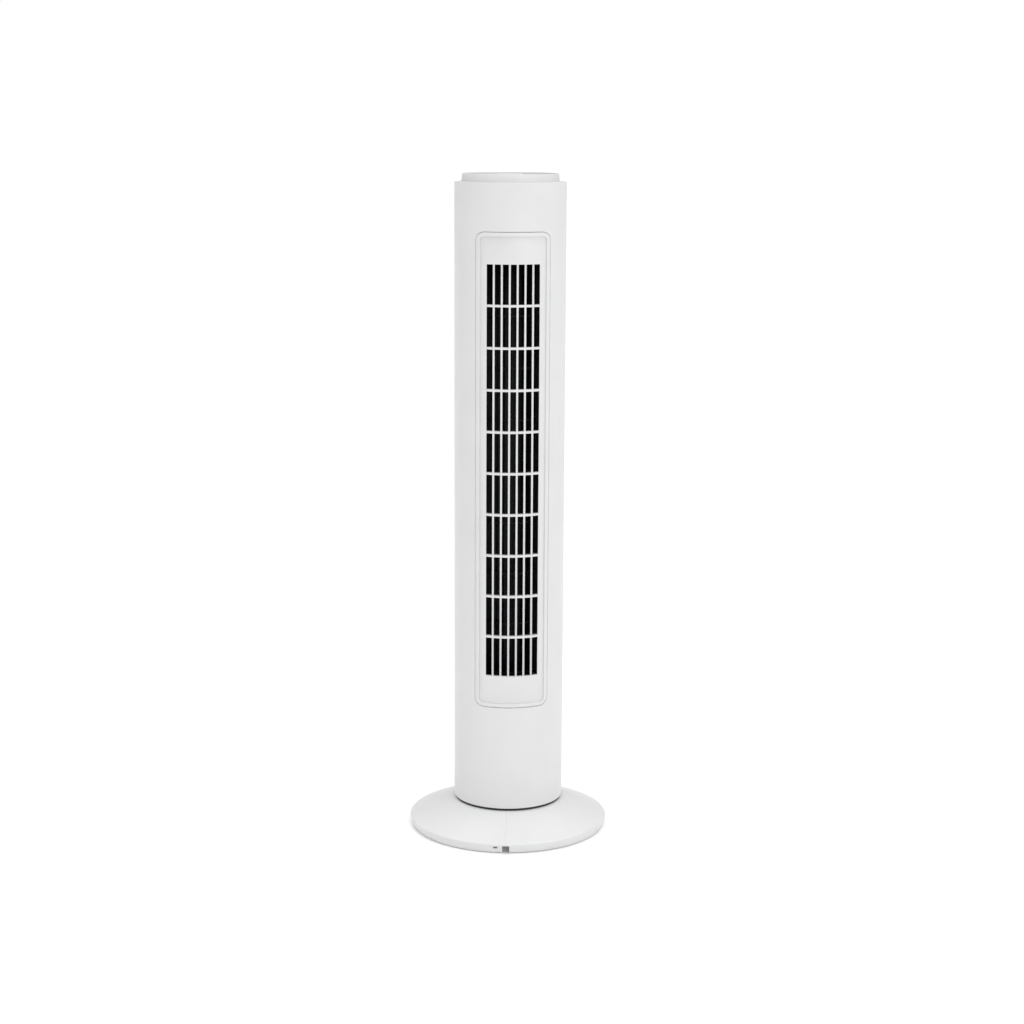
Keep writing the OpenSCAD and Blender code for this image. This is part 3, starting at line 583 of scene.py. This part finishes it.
def repeat_tree(name, inputs, lay_out):
    """A node tree that sets its piece on laid-out points, realizes the copies and gives them a material."""
    tree = bpy.data.node_groups.new(name, "GeometryNodeTree")
    tree.interface.new_socket("Piece", in_out="INPUT", socket_type="NodeSocketGeometry")
    tree.interface.new_socket("Count", in_out="INPUT", socket_type="NodeSocketInt")
    for label, kind in inputs:
        tree.interface.new_socket(label, in_out="INPUT", socket_type="NodeSocket" + kind)
    tree.interface.new_socket("Material", in_out="INPUT", socket_type="NodeSocketMaterial")
    tree.interface.new_socket("Copies", in_out="OUTPUT", socket_type="NodeSocketGeometry")
    given = tree.nodes.new("NodeGroupInput").outputs
    result = tree.nodes.new("NodeGroupOutput").inputs
    copies = tree.nodes.new("GeometryNodeInstanceOnPoints")
    real = tree.nodes.new("GeometryNodeRealizeInstances")
    paint = tree.nodes.new("GeometryNodeSetMaterial")
    line = tree.nodes.new("GeometryNodeMeshLine")
    tree.links.new(given["Count"], line.inputs["Count"])
    tree.links.new(given["Piece"], copies.inputs["Instance"])
    lay_out(tree, given, line, copies)
    tree.links.new(copies.outputs["Instances"], real.inputs["Geometry"])
    tree.links.new(real.outputs["Geometry"], paint.inputs["Geometry"])
    tree.links.new(given["Material"], paint.inputs["Material"])
    tree.links.new(paint.outputs["Geometry"], result["Copies"])
    return tree


def math_node(tree, operation, *values):
    """A maths step whose inputs are sockets or plain numbers."""
    step = tree.nodes.new("ShaderNodeMath")
    step.operation = operation
    for socket, value in zip(step.inputs, values):
        if isinstance(value, (int, float)):
            socket.default_value = value
        else:
            tree.links.new(value, socket)
    return step.outputs[0]


def row_layout(tree, given, line, copies):
    """Copies along a straight line, Pitch apart."""
    tree.links.new(given["Start"], line.inputs["Start Location"])
    tree.links.new(given["Pitch"], line.inputs["Offset"])
    tree.links.new(line.outputs["Mesh"], copies.inputs["Points"])


def ring_layout(tree, given, line, copies):
    """Copies turned about the upright axis through Centre, Step apart."""
    tree.links.new(given["Centre"], line.inputs["Start Location"])
    line.inputs["Offset"].default_value = (0, 0, 0)
    tree.links.new(line.outputs["Mesh"], copies.inputs["Points"])
    index = tree.nodes.new("GeometryNodeInputIndex").outputs[0]
    turn = math_node(tree, "ADD", math_node(tree, "MULTIPLY", index, given["Step"]), given["First"])
    joined = tree.nodes.new("ShaderNodeCombineXYZ")
    tree.links.new(turn, joined.inputs["Z"])
    tree.links.new(joined.outputs[0], copies.inputs["Rotation"])


def arc_row_layout(tree, given, line, copies):
    """Copies side by side along X, Pitch apart, each set forwards to lie on a round front of Radius."""
    half_row = math_node(tree, "MULTIPLY", math_node(tree, "SUBTRACT", given["Count"], 1), given["Pitch"])
    start = tree.nodes.new("ShaderNodeCombineXYZ")
    tree.links.new(math_node(tree, "MULTIPLY", half_row, -0.5), start.inputs["X"])
    offset = tree.nodes.new("ShaderNodeCombineXYZ")
    tree.links.new(given["Pitch"], offset.inputs["X"])
    tree.links.new(start.outputs[0], line.inputs["Start Location"])
    tree.links.new(offset.outputs[0], line.inputs["Offset"])
    place = tree.nodes.new("GeometryNodeInputPosition")
    apart = tree.nodes.new("ShaderNodeSeparateXYZ")
    tree.links.new(place.outputs[0], apart.inputs[0])
    x = apart.outputs["X"]
    inside = math_node(
        tree, "SUBTRACT", math_node(tree, "MULTIPLY", given["Radius"], given["Radius"]),
        math_node(tree, "MULTIPLY", x, x),
    )
    forward = tree.nodes.new("ShaderNodeCombineXYZ")
    tree.links.new(x, forward.inputs["X"])
    tree.links.new(math_node(tree, "MULTIPLY", math_node(tree, "SQRT", inside), -1.0), forward.inputs["Y"])
    moved = tree.nodes.new("GeometryNodeSetPosition")
    tree.links.new(line.outputs["Mesh"], moved.inputs["Geometry"])
    tree.links.new(forward.outputs[0], moved.inputs["Position"])
    tree.links.new(moved.outputs["Geometry"], copies.inputs["Points"])


row_tree = repeat_tree("row_of_copies", [("Start", "Vector"), ("Pitch", "Vector")], row_layout)
ring_tree = repeat_tree(
    "ring_of_copies", [("Centre", "Vector"), ("First", "Float"), ("Step", "Float")], ring_layout
)
arc_row_tree = repeat_tree("bars_on_round_front", [("Pitch", "Float"), ("Radius", "Float")], arc_row_layout)


def repeated(tree, unit, slot_name, count, **sizes):
    """The unit mesh repeated by a tree, as one plain mesh; sizes are the tree's named inputs."""
    thing = scratch_object("repeat", unit)
    modifier = thing.modifiers.new("repeat", "NODES")
    modifier.node_group = tree
    sizes.update(Count=count, Material=finishes[slot_name])
    for socket in tree.interface.items_tree:
        if socket.in_out == "INPUT" and socket.name in sizes:
            modifier[socket.identifier] = sizes[socket.name]
    return worked_in(thing)


def row(unit, slot_name, count, start, pitch):
    """Copies of unit in a straight row."""
    return repeated(
        row_tree, unit, slot_name, count,
        Start=[v * MM for v in start], Pitch=[v * MM for v in pitch],
    )


def ring(unit, slot_name, count, first, step, centre=(0, 0, 0)):
    """Copies of unit round an upright axis, at angles in degrees."""
    return repeated(
        ring_tree, unit, slot_name, count,
        Centre=[v * MM for v in centre], First=math.radians(first), Step=math.radians(step),
    )


def joined_mesh(name, meshes):
    """Several meshes as one."""
    bm = bmesh.new()
    for mesh in meshes:
        bm.from_mesh(mesh)
    merged = bpy.data.meshes.new(name)
    bm.to_mesh(merged)
    bm.free()
    for material in meshes[0].materials:
        merged.materials.append(material)
    return merged


# ------------------------------------------------------------------ column, front

GRILLE_LOW, GRILLE_HIGH = box_mm("front_grille")
INSERT_LAP = 3.6
INSERT_GAP = 0.7
WINDOW_HALF_W = 41.7
WINDOW_CORNER = 9.5
INSERT_MID = (GRILLE_LOW[2] + GRILLE_HIGH[2]) / 2
WINDOW_HALF_H = (GRILLE_HIGH[2] - GRILLE_LOW[2]) / 2 - INSERT_LAP
SLOTS_HALF_W = 29.3
SLOTS_TOP = COLUMN_TOP - 88.2
SLOTS_H = 466.2
SLOTS_BOTTOM = SLOTS_TOP - SLOTS_H
SLOT_ROWS = 10
BAR_W = 2.3
BAR_PITCH = 8.7
BAR_COUNT = 6
BAR_SET_BACK = 0.55
CROSS_H = 2.6
CROSS_STEPS = 24
ROW_PITCH = (SLOTS_H + CROSS_H) / SLOT_ROWS
FIELD_DROP = 0.5
FIELD_STEPS = 28
BAR_HOLD = 0.3  # how far the bars run into what holds them
ARC_STEPS = 8


def front_shell():
    """Round wall with the rounded window for the grille, in upright strips, closed at the seams."""
    seam_turn = 90 + math.degrees(math.asin(SEAM_Y / COLUMN_R))
    bends = [math.sin(math.radians(90 * i / ARC_STEPS)) for i in range(ARC_STEPS + 1)]
    edge_x = [WINDOW_HALF_W - WINDOW_CORNER * (1 - bend) for bend in bends]
    turns = {round(math.degrees(math.asin(x / COLUMN_R)) * side, 5) for x in edge_x for side in (-1, 1)}
    inner = math.degrees(math.asin(edge_x[0] / COLUMN_R))
    turns |= {round(-inner + 2 * inner * i / 30, 5) for i in range(31)}
    outer = math.degrees(math.asin(WINDOW_HALF_W / COLUMN_R))
    beside = [outer + (seam_turn - outer) * i / 24 for i in range(25)]
    turns |= {round(side * turn, 5) for turn in beside for side in (-1, 1)}
    turns = sorted(turns)
    bm = bmesh.new()
    made = {}

    def vertex(turn, z):
        key = (turn, round(z, 3))
        if key not in made:
            a = math.radians(turn)
            made[key] = bm.verts.new((COLUMN_R * math.sin(a), -COLUMN_R * math.cos(a), z))
        return made[key]

    def gap_at(turn):
        """Lower and upper edge of the window, or None beside it."""
        x = abs(COLUMN_R * math.sin(math.radians(turn)))
        if abs(turn) > outer + 1e-3:
            return None
        over = min(max(0.0, x - (WINDOW_HALF_W - WINDOW_CORNER)), WINDOW_CORNER)
        bite = WINDOW_CORNER - math.sqrt(WINDOW_CORNER**2 - over**2)
        return INSERT_MID - WINDOW_HALF_H + bite, INSERT_MID + WINDOW_HALF_H - bite

    for left, right in zip(turns, turns[1:]):
        gaps = gap_at(left), gap_at(right)
        if all(gaps):
            (left_low, left_high), (right_low, right_high) = gaps
            for patch in (
                ((left, COLUMN_BOTTOM), (right, COLUMN_BOTTOM), (right, right_low), (left, left_low)),
                ((left, left_high), (right, right_high), (right, COLUMN_TOP), (left, COLUMN_TOP)),
            ):
                bm.faces.new([vertex(*place) for place in patch])
            continue
        on_left, on_right = ([COLUMN_BOTTOM, *(gap or ()), COLUMN_TOP] for gap in gaps)
        around = [vertex(right, z) for z in on_right]
        around += [vertex(left, z) for z in reversed(on_left)]
        bm.faces.new(around)
    for face in bm.faces:
        face.smooth = True
    mesh = bpy.data.meshes.new("front_shell_wall")
    bm.to_mesh(mesh)
    bm.free()
    mesh.transform(Matrix.Scale(MM, 4))
    thing = add_piece("front_shell_wall", mesh, "shell_white", "column", ["front_shell"])
    wall = thing.modifiers.new("wall", "SOLIDIFY")
    wall.thickness = SHELL_WALL * MM
    wall.offset = -1
    round_edges(thing, 0.55, 3, 40)


def on_front(x, z, rise):
    """A point of the column's front at x and z, raised above its surface."""
    return (x, -math.sqrt((COLUMN_R + rise) ** 2 - x * x), z)


def insert_frame():
    """The grille's frame: flange behind the shell, raised bead, flat field and the edge of the slots."""
    half_w, half_h = WINDOW_HALF_W - INSERT_GAP, WINDOW_HALF_H - INSERT_GAP
    corner = WINDOW_CORNER - INSERT_GAP
    flange = -(INSERT_LAP + INSERT_GAP)
    back, flange_front = -5.0, -2.95
    behind = [(flange, back), (flange, flange_front), (-0.15, flange_front), (-0.15, -0.5)]
    bead = [(-0.08, -0.2), (0.15, 0.15), (0.6, 0.5), (1.2, 0.7), (2.0, 0.78), (3.0, 0.75)]
    step_down = [(3.6, 0.66), (3.9, 0.5), (4.08, 0.2), (4.18, -0.4)]
    groove = [(4.3, -0.78), (4.55, -0.9), (4.85, -0.76), (5.15, -FIELD_DROP)]
    loops = []
    for inset, rise in behind + bead + step_down + groove:
        turned = max(corner - inset, 1.2)
        outline = rounded_rectangle(half_w - inset, half_h - inset, turned, FIELD_STEPS, 1, ARC_STEPS)
        loops.append([on_front(x, INSERT_MID + z, rise) for x, z in outline])
    slots_mid = SLOTS_BOTTOM + SLOTS_H / 2
    slot_edge = [(0.9, -FIELD_DROP), (0.45, -FIELD_DROP), (0.2, -0.55), (0.05, -0.7), (0, -0.95), (0, back)]
    for margin, rise in slot_edge:
        half_across, half_up = SLOTS_HALF_W + margin, SLOTS_H / 2 + margin
        outline = rounded_rectangle(half_across, half_up, 0.0, FIELD_STEPS, 1, ARC_STEPS)
        loops.append([on_front(x, slots_mid + z, rise) for x, z in outline])
    bm = bmesh.new()
    skin(bm, loops, closed=True)
    return plain_mesh("insert_frame", bm)


def upright_bar():
    """One upright bar, its front face at the origin, rounded in front and narrower at the back."""
    half = BAR_W / 2
    depth = 4.45
    outline = [(-half + 0.42, depth), (-half + 0.05, 0.5), (-half + 0.14, 0.16), (-half + 0.45, 0.0)]
    outline += [(-x, y) for x, y in reversed(outline)]
    ends = (SLOTS_BOTTOM - BAR_HOLD, SLOTS_TOP + BAR_HOLD)
    return stacked_mesh("upright_bar", [[(x, y, z) for x, y in outline] for z in ends])


def cross_bar():
    """One cross bar, bent round the column, its lower edge at Z = 0."""
    back = -6.9
    front_edge = [(-0.95, 0.0), (-0.62, 0.12), (-FIELD_DROP, 0.42)]
    outline = front_edge + [(rise, CROSS_H - z) for rise, z in reversed(front_edge)]
    outline += [(back, CROSS_H), (back, 0.0)]
    reach = SLOTS_HALF_W + BAR_HOLD
    across = [-reach + 2 * reach * i / CROSS_STEPS for i in range(CROSS_STEPS + 1)]
    return stacked_mesh("cross_bar", [[on_front(x, z, rise) for rise, z in outline] for x in across])


def front_grille():
    """Frame, upright bars and cross bars, in place of the CAD's grille."""
    uprights = repeated(
        arc_row_tree, upright_bar(), "shell_white", BAR_COUNT,
        Pitch=BAR_PITCH * MM, Radius=(COLUMN_R - BAR_SET_BACK) * MM,
    )
    crosses = row(
        cross_bar(), "shell_white", SLOT_ROWS - 1,
        (0, 0, SLOTS_BOTTOM + ROW_PITCH - CROSS_H), (0, 0, ROW_PITCH),
    )
    parts = (("grille_frame", insert_frame()), ("grille_uprights", uprights), ("grille_cross_bars", crosses))
    for name, mesh in parts:
        add_piece(name, mesh, "shell_white", "column", ["front_grille"])


# ------------------------------------------------------------------ base

RIM_Z = 9.6
RIM_R = 2.0
RIM_DRAFT = 3.0
LAND_R = 64.0
BASE_WALL = 2.8
NECK_HOLE_R = 46.0
FOOT_RISE = 1.0
NOTCH_HALF_W = 4.0
NOTCH_H = 9.2
FOOT_ANGLES = (122, 180, 238)
FOOT_CIRCLE = 98.0
FOOT_R = 7.0
CUP_WALL = 1.6
CUP_TOP = 14.5
NECK_CHAMFER = 1.2
HALF_SEAM = 0.02
NOTCH_DEPTH = 11
CATCH_HALF_W = 2.5
CATCH_H = 2.4
CATCH_DROP = 1.2
CATCH_TURN = -6
RIB_HALF = 0.95
RIB_ANGLES = (108, 136, 151, 166, 194, 209, 224, 252)


def base_profile():
    """Outline of the base's wall from the bottom edge up over the rim to the neck, and back inside."""
    rim_c = BASE_R - RIM_R
    slope = (BASE_TOP - RIM_Z - RIM_R * 0.92) / (rim_c + RIM_R * 0.39 - LAND_R)
    normal = 90 - math.degrees(math.atan(slope))
    wall_foot = BASE_R - RIM_DRAFT
    outside = [(wall_foot, FOOT_RISE), (wall_foot + RIM_DRAFT * 0.5, (FOOT_RISE + RIM_Z) / 2)]
    for i in range(9):
        a = math.radians(normal * i / 8)
        outside.append((rim_c + RIM_R * math.cos(a), RIM_Z + RIM_R * math.sin(a)))
    top_r, top_z = outside[-1]

    def on_cone(r):
        return top_z + (top_r - r) * slope

    outside += [(r, on_cone(r)) for r in (top_r - 0.8, (top_r + LAND_R) / 2)]
    bend_r, bend_reach = 14, 9
    land_bend = filleted(
        [
            (LAND_R + bend_reach, on_cone(LAND_R + bend_reach), 0), (LAND_R, BASE_TOP, bend_r),
            (LAND_R - bend_reach, BASE_TOP, 0), (LAND_R - 4, 0, 0),
        ],
        6,
    )
    outside += land_bend[:-1]
    outside += [(NECK_HOLE_R + NECK_CHAMFER, BASE_TOP), (NECK_HOLE_R, BASE_TOP)]
    drop = BASE_WALL / math.sin(math.radians(normal))
    rim_inside = BASE_R - 4.2
    inside = [(NECK_HOLE_R, BASE_TOP - BASE_WALL), (LAND_R - 1.0, BASE_TOP - BASE_WALL)]
    inside += [(rim_inside, on_cone(rim_inside) - drop), (wall_foot - BASE_WALL, FOOT_RISE)]
    return outside + inside


def base_wall(name):
    """The left half's wall with its two cord notches and the catch window."""
    bm = revolved(base_profile(), 72, 90, 180)
    for vert in bm.verts:
        vert.co.x = min(vert.co.x, -HALF_SEAM)
    cutter = bmesh.new()
    for y_low, y_high in ((-BASE_R - 1, -BASE_R + NOTCH_DEPTH), (BASE_R - NOTCH_DEPTH, BASE_R + 1)):
        box_into(cutter, (-NOTCH_HALF_W, y_low, -1), (NOTCH_HALF_W, y_high, NOTCH_H))
    catch_top = RIM_Z - CATCH_DROP
    box_into(
        cutter, (-CATCH_HALF_W, -BASE_R - 2, catch_top - CATCH_H), (CATCH_HALF_W, -BASE_R + 6, catch_top),
        CATCH_TURN,
    )
    return cut_away(plain_mesh(name, bm), cutter)


def base_half(name, turn, node):
    """Half of the base: clean wall, ribs and foot cups."""
    turn += BASE_TURN
    shell = base_wall(name)
    shell.transform(Matrix.Rotation(math.radians(turn), 4, "Z"))
    thing = add_piece(name, shell, "shell_white", "base", [node])
    round_edges(thing, 0.16, 2, 38)
    rib_in, rib_out = LAND_R - 4, BASE_R - 5.6
    outline = [(rib_in, 30.5), (rib_in, 18), (BASE_R - 8, 4.2), (rib_out, 4.2), (rib_out, 11.2)]
    rib = stacked_mesh("rib", [[(r, y, z) for r, z in outline] for y in (-RIB_HALF, RIB_HALF)])
    meshes = [ring(rib, "shell_white", 1, turn + a, 0) for a in RIB_ANGLES]
    cup_out = FOOT_R + CUP_WALL
    cup = [(cup_out, FOOT_RISE), (cup_out, CUP_TOP), (FOOT_R, CUP_TOP), (FOOT_R, FOOT_RISE)]
    for a in FOOT_ANGLES:
        place = math.radians(turn + a)
        centre = (FOOT_CIRCLE * math.cos(place), FOOT_CIRCLE * math.sin(place))
        meshes.append(plain_mesh("cup", revolved(cup, 48, centre=centre)))
    under = joined_mesh(name + "_ribs", meshes)
    add_piece(name + "_ribs", under, "shell_white", "base", [node])


def rubber_feet():
    """Six round feet with a grooved sole."""
    sole = [(0.0, 0.15), (2.2, 0.15), (2.5, 0.5), (3.1, 0.5), (3.4, 0.0), (4.4, 0.0)]
    sole += [(4.7, 0.45), (5.2, 0.45), (5.5, 0.0), (6.3, 0.0), (6.75, 0.25), (6.9, 0.6)]
    outline = sole + [(6.9, 1.95), (0.0, 1.95)]
    foot = plain_mesh("foot", revolved(outline, 48, centre=(FOOT_CIRCLE, 0)))
    step = FOOT_ANGLES[1] - FOOT_ANGLES[0]
    for side, turn in (("left", 0), ("right", 180)):
        feet = ring(foot, "rubber_dark", 3, BASE_TURN + turn + FOOT_ANGLES[0], step)
        add_piece("feet_" + side, feet, "rubber_dark", "base", ["rubber_feet"])


# ------------------------------------------------------------------ top

KEY_Y = -22.0
KEY_PITCH = 15.0
KEY_HALF_W = 6.3
KEY_HALF_L = 7.8
KEY_CORNER = 1.5
KEY_LIP = 0.8
KEY_LIP_T = 1.0
KEY_LIP_GAP = 0.2
KEY_DISH = 0.42
KNOB_Y = 18.0
KNOB_R = 17.0
KNURLS = 48
DIAL_SWEEP = 270
DIAL_STEPS = 8
DIAL_STEP_MINUTES = 15
PANEL_TOP = box_mm("control_panel")[1][2]
PANEL_SEAT = COLUMN_TOP - 0.9


def top_cap():
    """Shoulder ring with the raised collar, its rim rounded over and a step at the seam."""
    ledge_r, skirt_r, bore_r = 48.8, 57.8, 52.6
    ledge_z, skirt_z = COLUMN_TOP - 3, COLUMN_TOP - 11
    corners = [
        (ledge_r, ledge_z, 0.3), (skirt_r, ledge_z, 0), (skirt_r, skirt_z, 0.3),
        (CAP_R, skirt_z, 0.3), (CAP_R, COLUMN_TOP, 0.6), (COLLAR_R, COLUMN_TOP, 0.7),
        (COLLAR_R - COLLAR_DRAFT, COLLAR_TOP, 1.2), (bore_r, COLLAR_TOP, 0.8),
        (bore_r, PANEL_SEAT, 0), (ledge_r, PANEL_SEAT, 0.3),
    ]
    mesh = plain_mesh("top_cap_ring", revolved(filleted(corners, 5), 128))
    add_piece("top_cap_ring", mesh, "shell_white", "column", ["top_cap"])


def key_cap(node, index):
    """A key with a slightly dished, round-edged face, a lip under the panel and a stem; gives its top."""
    low, high = box_mm(node)
    top = high[2]
    lip_bottom = PANEL_SEAT - KEY_LIP_GAP - KEY_LIP_T
    lip_top = lip_bottom + KEY_LIP_T
    stem_half, stem_corner = 2.5, 0.2

    def outline(half_w, half_l, corner, z):
        return [(x, y, z) for x, y in rounded_rectangle(half_w, half_l, corner, 6, 6, 5)]

    loops = []
    dish = ((0.0, KEY_DISH), (0.25, 0.40), (0.5, 0.33), (0.75, 0.2), (0.9, 0.07), (0.965, 0.02))
    for share, drop in dish:
        half_w, half_l = max(KEY_HALF_W * share, 0.01), max(KEY_HALF_L * share, 0.01)
        loops.append(outline(half_w, half_l, KEY_CORNER * share, top - drop))
    sides = (
        (-0.28, top - 0.04), (-0.1, top - 0.18), (0, top - 0.5), (0, lip_top), (KEY_LIP, lip_top),
        (KEY_LIP, lip_bottom),
    )
    for grow, z in sides:
        loops.append(outline(KEY_HALF_W + grow, KEY_HALF_L + grow, KEY_CORNER + min(grow, 0), z))
    for z in (lip_bottom, low[2]):
        loops.append(outline(stem_half, stem_half, stem_corner, z))
    mesh = stacked_mesh(node + "_cap", loops)
    mesh.transform(Matrix.Translation(((index - 2) * KEY_PITCH * MM, KEY_Y * MM, 0)))
    add_piece(node + "_cap", mesh, slot_of[node], node, [node])
    return top


def printed(name, body, slot_name, text, size, centre, z):
    """A printed character, a twentieth of a millimetre of ink."""
    curve = bpy.data.curves.new(name, "FONT")
    curve.body = text
    curve.size = size * MM
    curve.align_x = "CENTER"
    curve.align_y = "CENTER"
    curve.extrude = 0.025 * MM
    curve.resolution_u = 4
    mesh = worked_in(scratch_object(name, curve))
    mesh.transform(Matrix.Translation((centre[0] * MM, centre[1] * MM, (z + 0.02) * MM)))
    mesh.materials.clear()
    add_piece(name, mesh, slot_name, body)


def swing_mark(centre, z):
    """Curved double arrow for the swing key."""
    radius, width, sweep = 3.2, 0.6, 50
    head_half, head_turn, set_up = 1.1, 0.42, 2.6

    def on_arc(r, angle):
        return (r * math.cos(angle), r * math.sin(angle))

    angles = [math.radians(-90 - sweep + 2 * sweep * i / 12) for i in range(13)]
    outer = [on_arc(radius + width / 2, a) for a in angles]
    inner = [on_arc(radius - width / 2, a) for a in angles]
    outlines = [outer + inner[::-1]]
    for side in (-1, 1):
        a = math.radians(-90 + side * sweep)
        tip = on_arc(radius, a + side * head_turn)
        outlines.append([tip, on_arc(radius + head_half, a), on_arc(radius - head_half, a)])
    bm = bmesh.new()
    for outline in outlines:
        levels = (z - 0.01, z + 0.05)
        stacked(bm, [[(centre[0] + x, centre[1] + set_up + y, h) for x, y in outline] for h in levels])
    add_piece("swing_key_mark", plain_mesh("swing_key_mark", bm), "key_grey", "swing_key")


def keys():
    """The off key, three speed keys and the swing key, each with its mark."""
    for index, node in enumerate(("key_0", "key_1", "key_2", "key_3", "swing_key")):
        face = key_cap(node, index) - KEY_DISH
        place = ((index - 2) * KEY_PITCH, KEY_Y)
        if node == "swing_key":
            swing_mark(place, face)
        else:
            ink = "key_white" if index == 0 else "key_grey"
            printed(node + "_number", node, ink, str(index), 6.0, place, face)


def timer_knob():
    """Low dial with a knurled edge and a crowned grip, a groove along it as pointer."""
    low, high = box_mm("timer_knob")
    foot, top = low[2], high[2]
    disc_top = top - 2.3
    bore_r, rim = 3.0, KNOB_R - 0.45
    corners = [(bore_r, foot, 0), (rim, foot, 0.3), (rim, disc_top - 0.2, 0.7), (bore_r, disc_top, 0)]
    disc = plain_mesh("knob_disc", revolved(filleted(corners, 4), 96, centre=(0, KNOB_Y)))
    tooth = [(rim - 0.3, -0.42), (rim + 0.22, -0.3), (rim + 0.43, 0.0), (rim + 0.22, 0.3), (rim - 0.3, 0.42)]
    knurl = stacked_mesh("knurl", [[(x, y, z) for x, y in tooth] for z in (foot + 0.5, disc_top - 1.1)])
    knurls = ring(knurl, "knob_white", KNURLS, 0, 360 / KNURLS, (0, KNOB_Y, 0))
    grip_half_l, grip_half_w, grip_corner = 14.6, 2.25, 1.6
    loops = []
    for z, grow in ((foot + 0.5, 0.25), (disc_top, 0.2), (top - 0.5, 0.0), (top - 0.15, -0.18), (top, -0.55)):
        outline = rounded_rectangle(grip_half_l + grow, grip_half_w + grow, grip_corner, 8, 2, 5)
        loops.append([(x, KNOB_Y + y, z) for x, y in outline])
    pointer = bmesh.new()
    box_into(pointer, (6.5, KNOB_Y - 0.4, top - 0.35), (13.4, KNOB_Y + 0.4, top + 1))
    grip = cut_away(stacked_mesh("grip", loops), pointer)
    for name, mesh in (("knob_disc", disc), ("knob_knurls", knurls), ("knob_grip", grip)):
        add_piece(name, mesh, "knob_white", "timer_dial", ["timer_knob"])


def dial_marks():
    """Ticks and minutes round the timer knob, printed on the panel."""
    tick_in, tick_out, tick_half, numbers_r = 18.6, 20.8, 0.25, 23.6
    tick = bmesh.new()
    box_into(tick, (tick_in, -tick_half, PANEL_TOP - 0.01), (tick_out, tick_half, PANEL_TOP + 0.04))
    step = -DIAL_SWEEP / DIAL_STEPS
    ticks = ring(plain_mesh("tick", tick), "switch_dark", DIAL_STEPS + 1, 0, step, (0, KNOB_Y, 0))
    add_piece("dial_ticks", ticks, "switch_dark", "column")
    for i in range(0, DIAL_STEPS + 1, 2):
        a = math.radians(step * i)
        minutes = i * DIAL_STEP_MINUTES
        place = (numbers_r * math.cos(a), KNOB_Y + numbers_r * math.sin(a))
        printed("dial_number_%d" % minutes, "column", "switch_dark", str(minutes), 3.6, place, PANEL_TOP)


# ------------------------------------------------------------------ impeller


BLADES = 32
BLADE_CHORD = 9.0
BLADE_T = 1.1
BLADE_STEPS = 8
WHEEL_RING_T = 2.4
WHEEL_SECTIONS = 8


def blade():
    """One curved blade, thin at both edges, as long as the wheel."""
    back, front = [], []
    for i in range(BLADE_STEPS + 1):
        t = i / BLADE_STEPS
        x = WHEEL_R - 0.4 - BLADE_CHORD * t
        y = 2.6 * math.sin(math.pi * t) + 4 * t
        half = BLADE_T / 2 * (0.35 + 0.65 * math.sin(math.pi * min(max(t, 0.0), 1.0)) ** 0.6)
        back.append((x, y + half))
        front.append((x, y - half))
    outline = back + front[::-1]
    return stacked_mesh("blade", [[(x, y, z) for x, y in outline] for z in (WHEEL_BOTTOM + 1, WHEEL_TOP - 1)])


def wheel_turned(name, corners, base_z):
    """A part of the wheel turned about its axis, from (radius, height, fillet) corners."""
    raised = [(r, base_z + z, fillet) for r, z, fillet in corners]
    return plain_mesh(name, revolved(filleted(raised, 3), 96, centre=(0, WHEEL_Y)))


def impeller():
    """Blades held by rings, with a hub at each end."""
    axis = (0, WHEEL_Y, 0)
    blades = ring(blade(), "wheel_black", BLADES, 0, 360 / BLADES, axis)
    gap = (WHEEL_TOP - WHEEL_BOTTOM - WHEEL_RING_T) / WHEEL_SECTIONS
    inner, rim, thick = WHEEL_R - BLADE_CHORD - 1.5, WHEEL_R, WHEEL_RING_T
    hoop = wheel_turned("hoop", [(inner, 0, 0.5), (rim, 0, 0.5), (rim, thick, 0.5), (inner, thick, 0.5)], 0)
    hoops = row(hoop, "wheel_black", WHEEL_SECTIONS - 1, (0, 0, WHEEL_BOTTOM + gap), (0, 0, gap))
    shaft_r, hub_r, hub_h = 4.0, 9.0, 15
    low_end = [
        (shaft_r, 0, 0.2), (rim, 0, 0.5), (rim, thick, 0.5), (hub_r, thick, 1.0), (hub_r, hub_h, 0.6),
        (shaft_r, hub_h, 0.2),
    ]
    stub_r, boss_r, disc_z, end_h = 3.0, 8.0, 9.6, 12
    high_end = [
        (stub_r, 0, 0.2), (boss_r, 0, 0.6), (boss_r, disc_z, 1.0), (rim, disc_z, 0.5), (rim, end_h, 0.5),
        (stub_r, end_h, 0.2),
    ]
    meshes = [wheel_turned("end", low_end, WHEEL_BOTTOM), wheel_turned("end", high_end, WHEEL_TOP - end_h)]
    ends = joined_mesh("wheel_ends", meshes)
    for name, mesh in (("wheel_blades", blades), ("wheel_rings", hoops), ("wheel_ends", ends)):
        add_piece(name, mesh, "wheel_black", "wheel", ["impeller"])


# ------------------------------------------------------------------ assembly

# Pieces that keep the CAD's shape, and the radius of their rounded edges
SOFTENED = (
    ("rear_shell", 0.5),
    ("carry_handle", 0.6),
    ("control_panel", 0.25),
    ("shell_screws", 0.2),
    ("cord_grommet", 0.3),
    ("swivel_retainer", 0.2),
    ("lock_nut", 0.4),
    ("pivot_plate", 0.3),
    ("bottom_cover", 0.4),
    ("swing_motor", 0.4),
    ("capacitor", 1.0),
    ("switch_bank", 0.4),
    ("timer_body", 0.6),
    ("motor_shield_upper", 0.8),
    ("motor_shield_lower", 0.8),
    ("lead_clamp", 0.4),
    ("swing_crank", 0.3),
    ("swing_bracket", 0.3),
)

place_camera()
light_studio()
lay_floor()
finish_cad_nodes()
front_shell()
front_grille()
base_half("base_half_left_wall", 0, "base_half_left")
base_half("base_half_right_wall", 180, "base_half_right")
rubber_feet()
top_cap()
keys()
timer_knob()
dial_marks()
impeller()
for node, radius in SOFTENED:
    softened(node, radius)
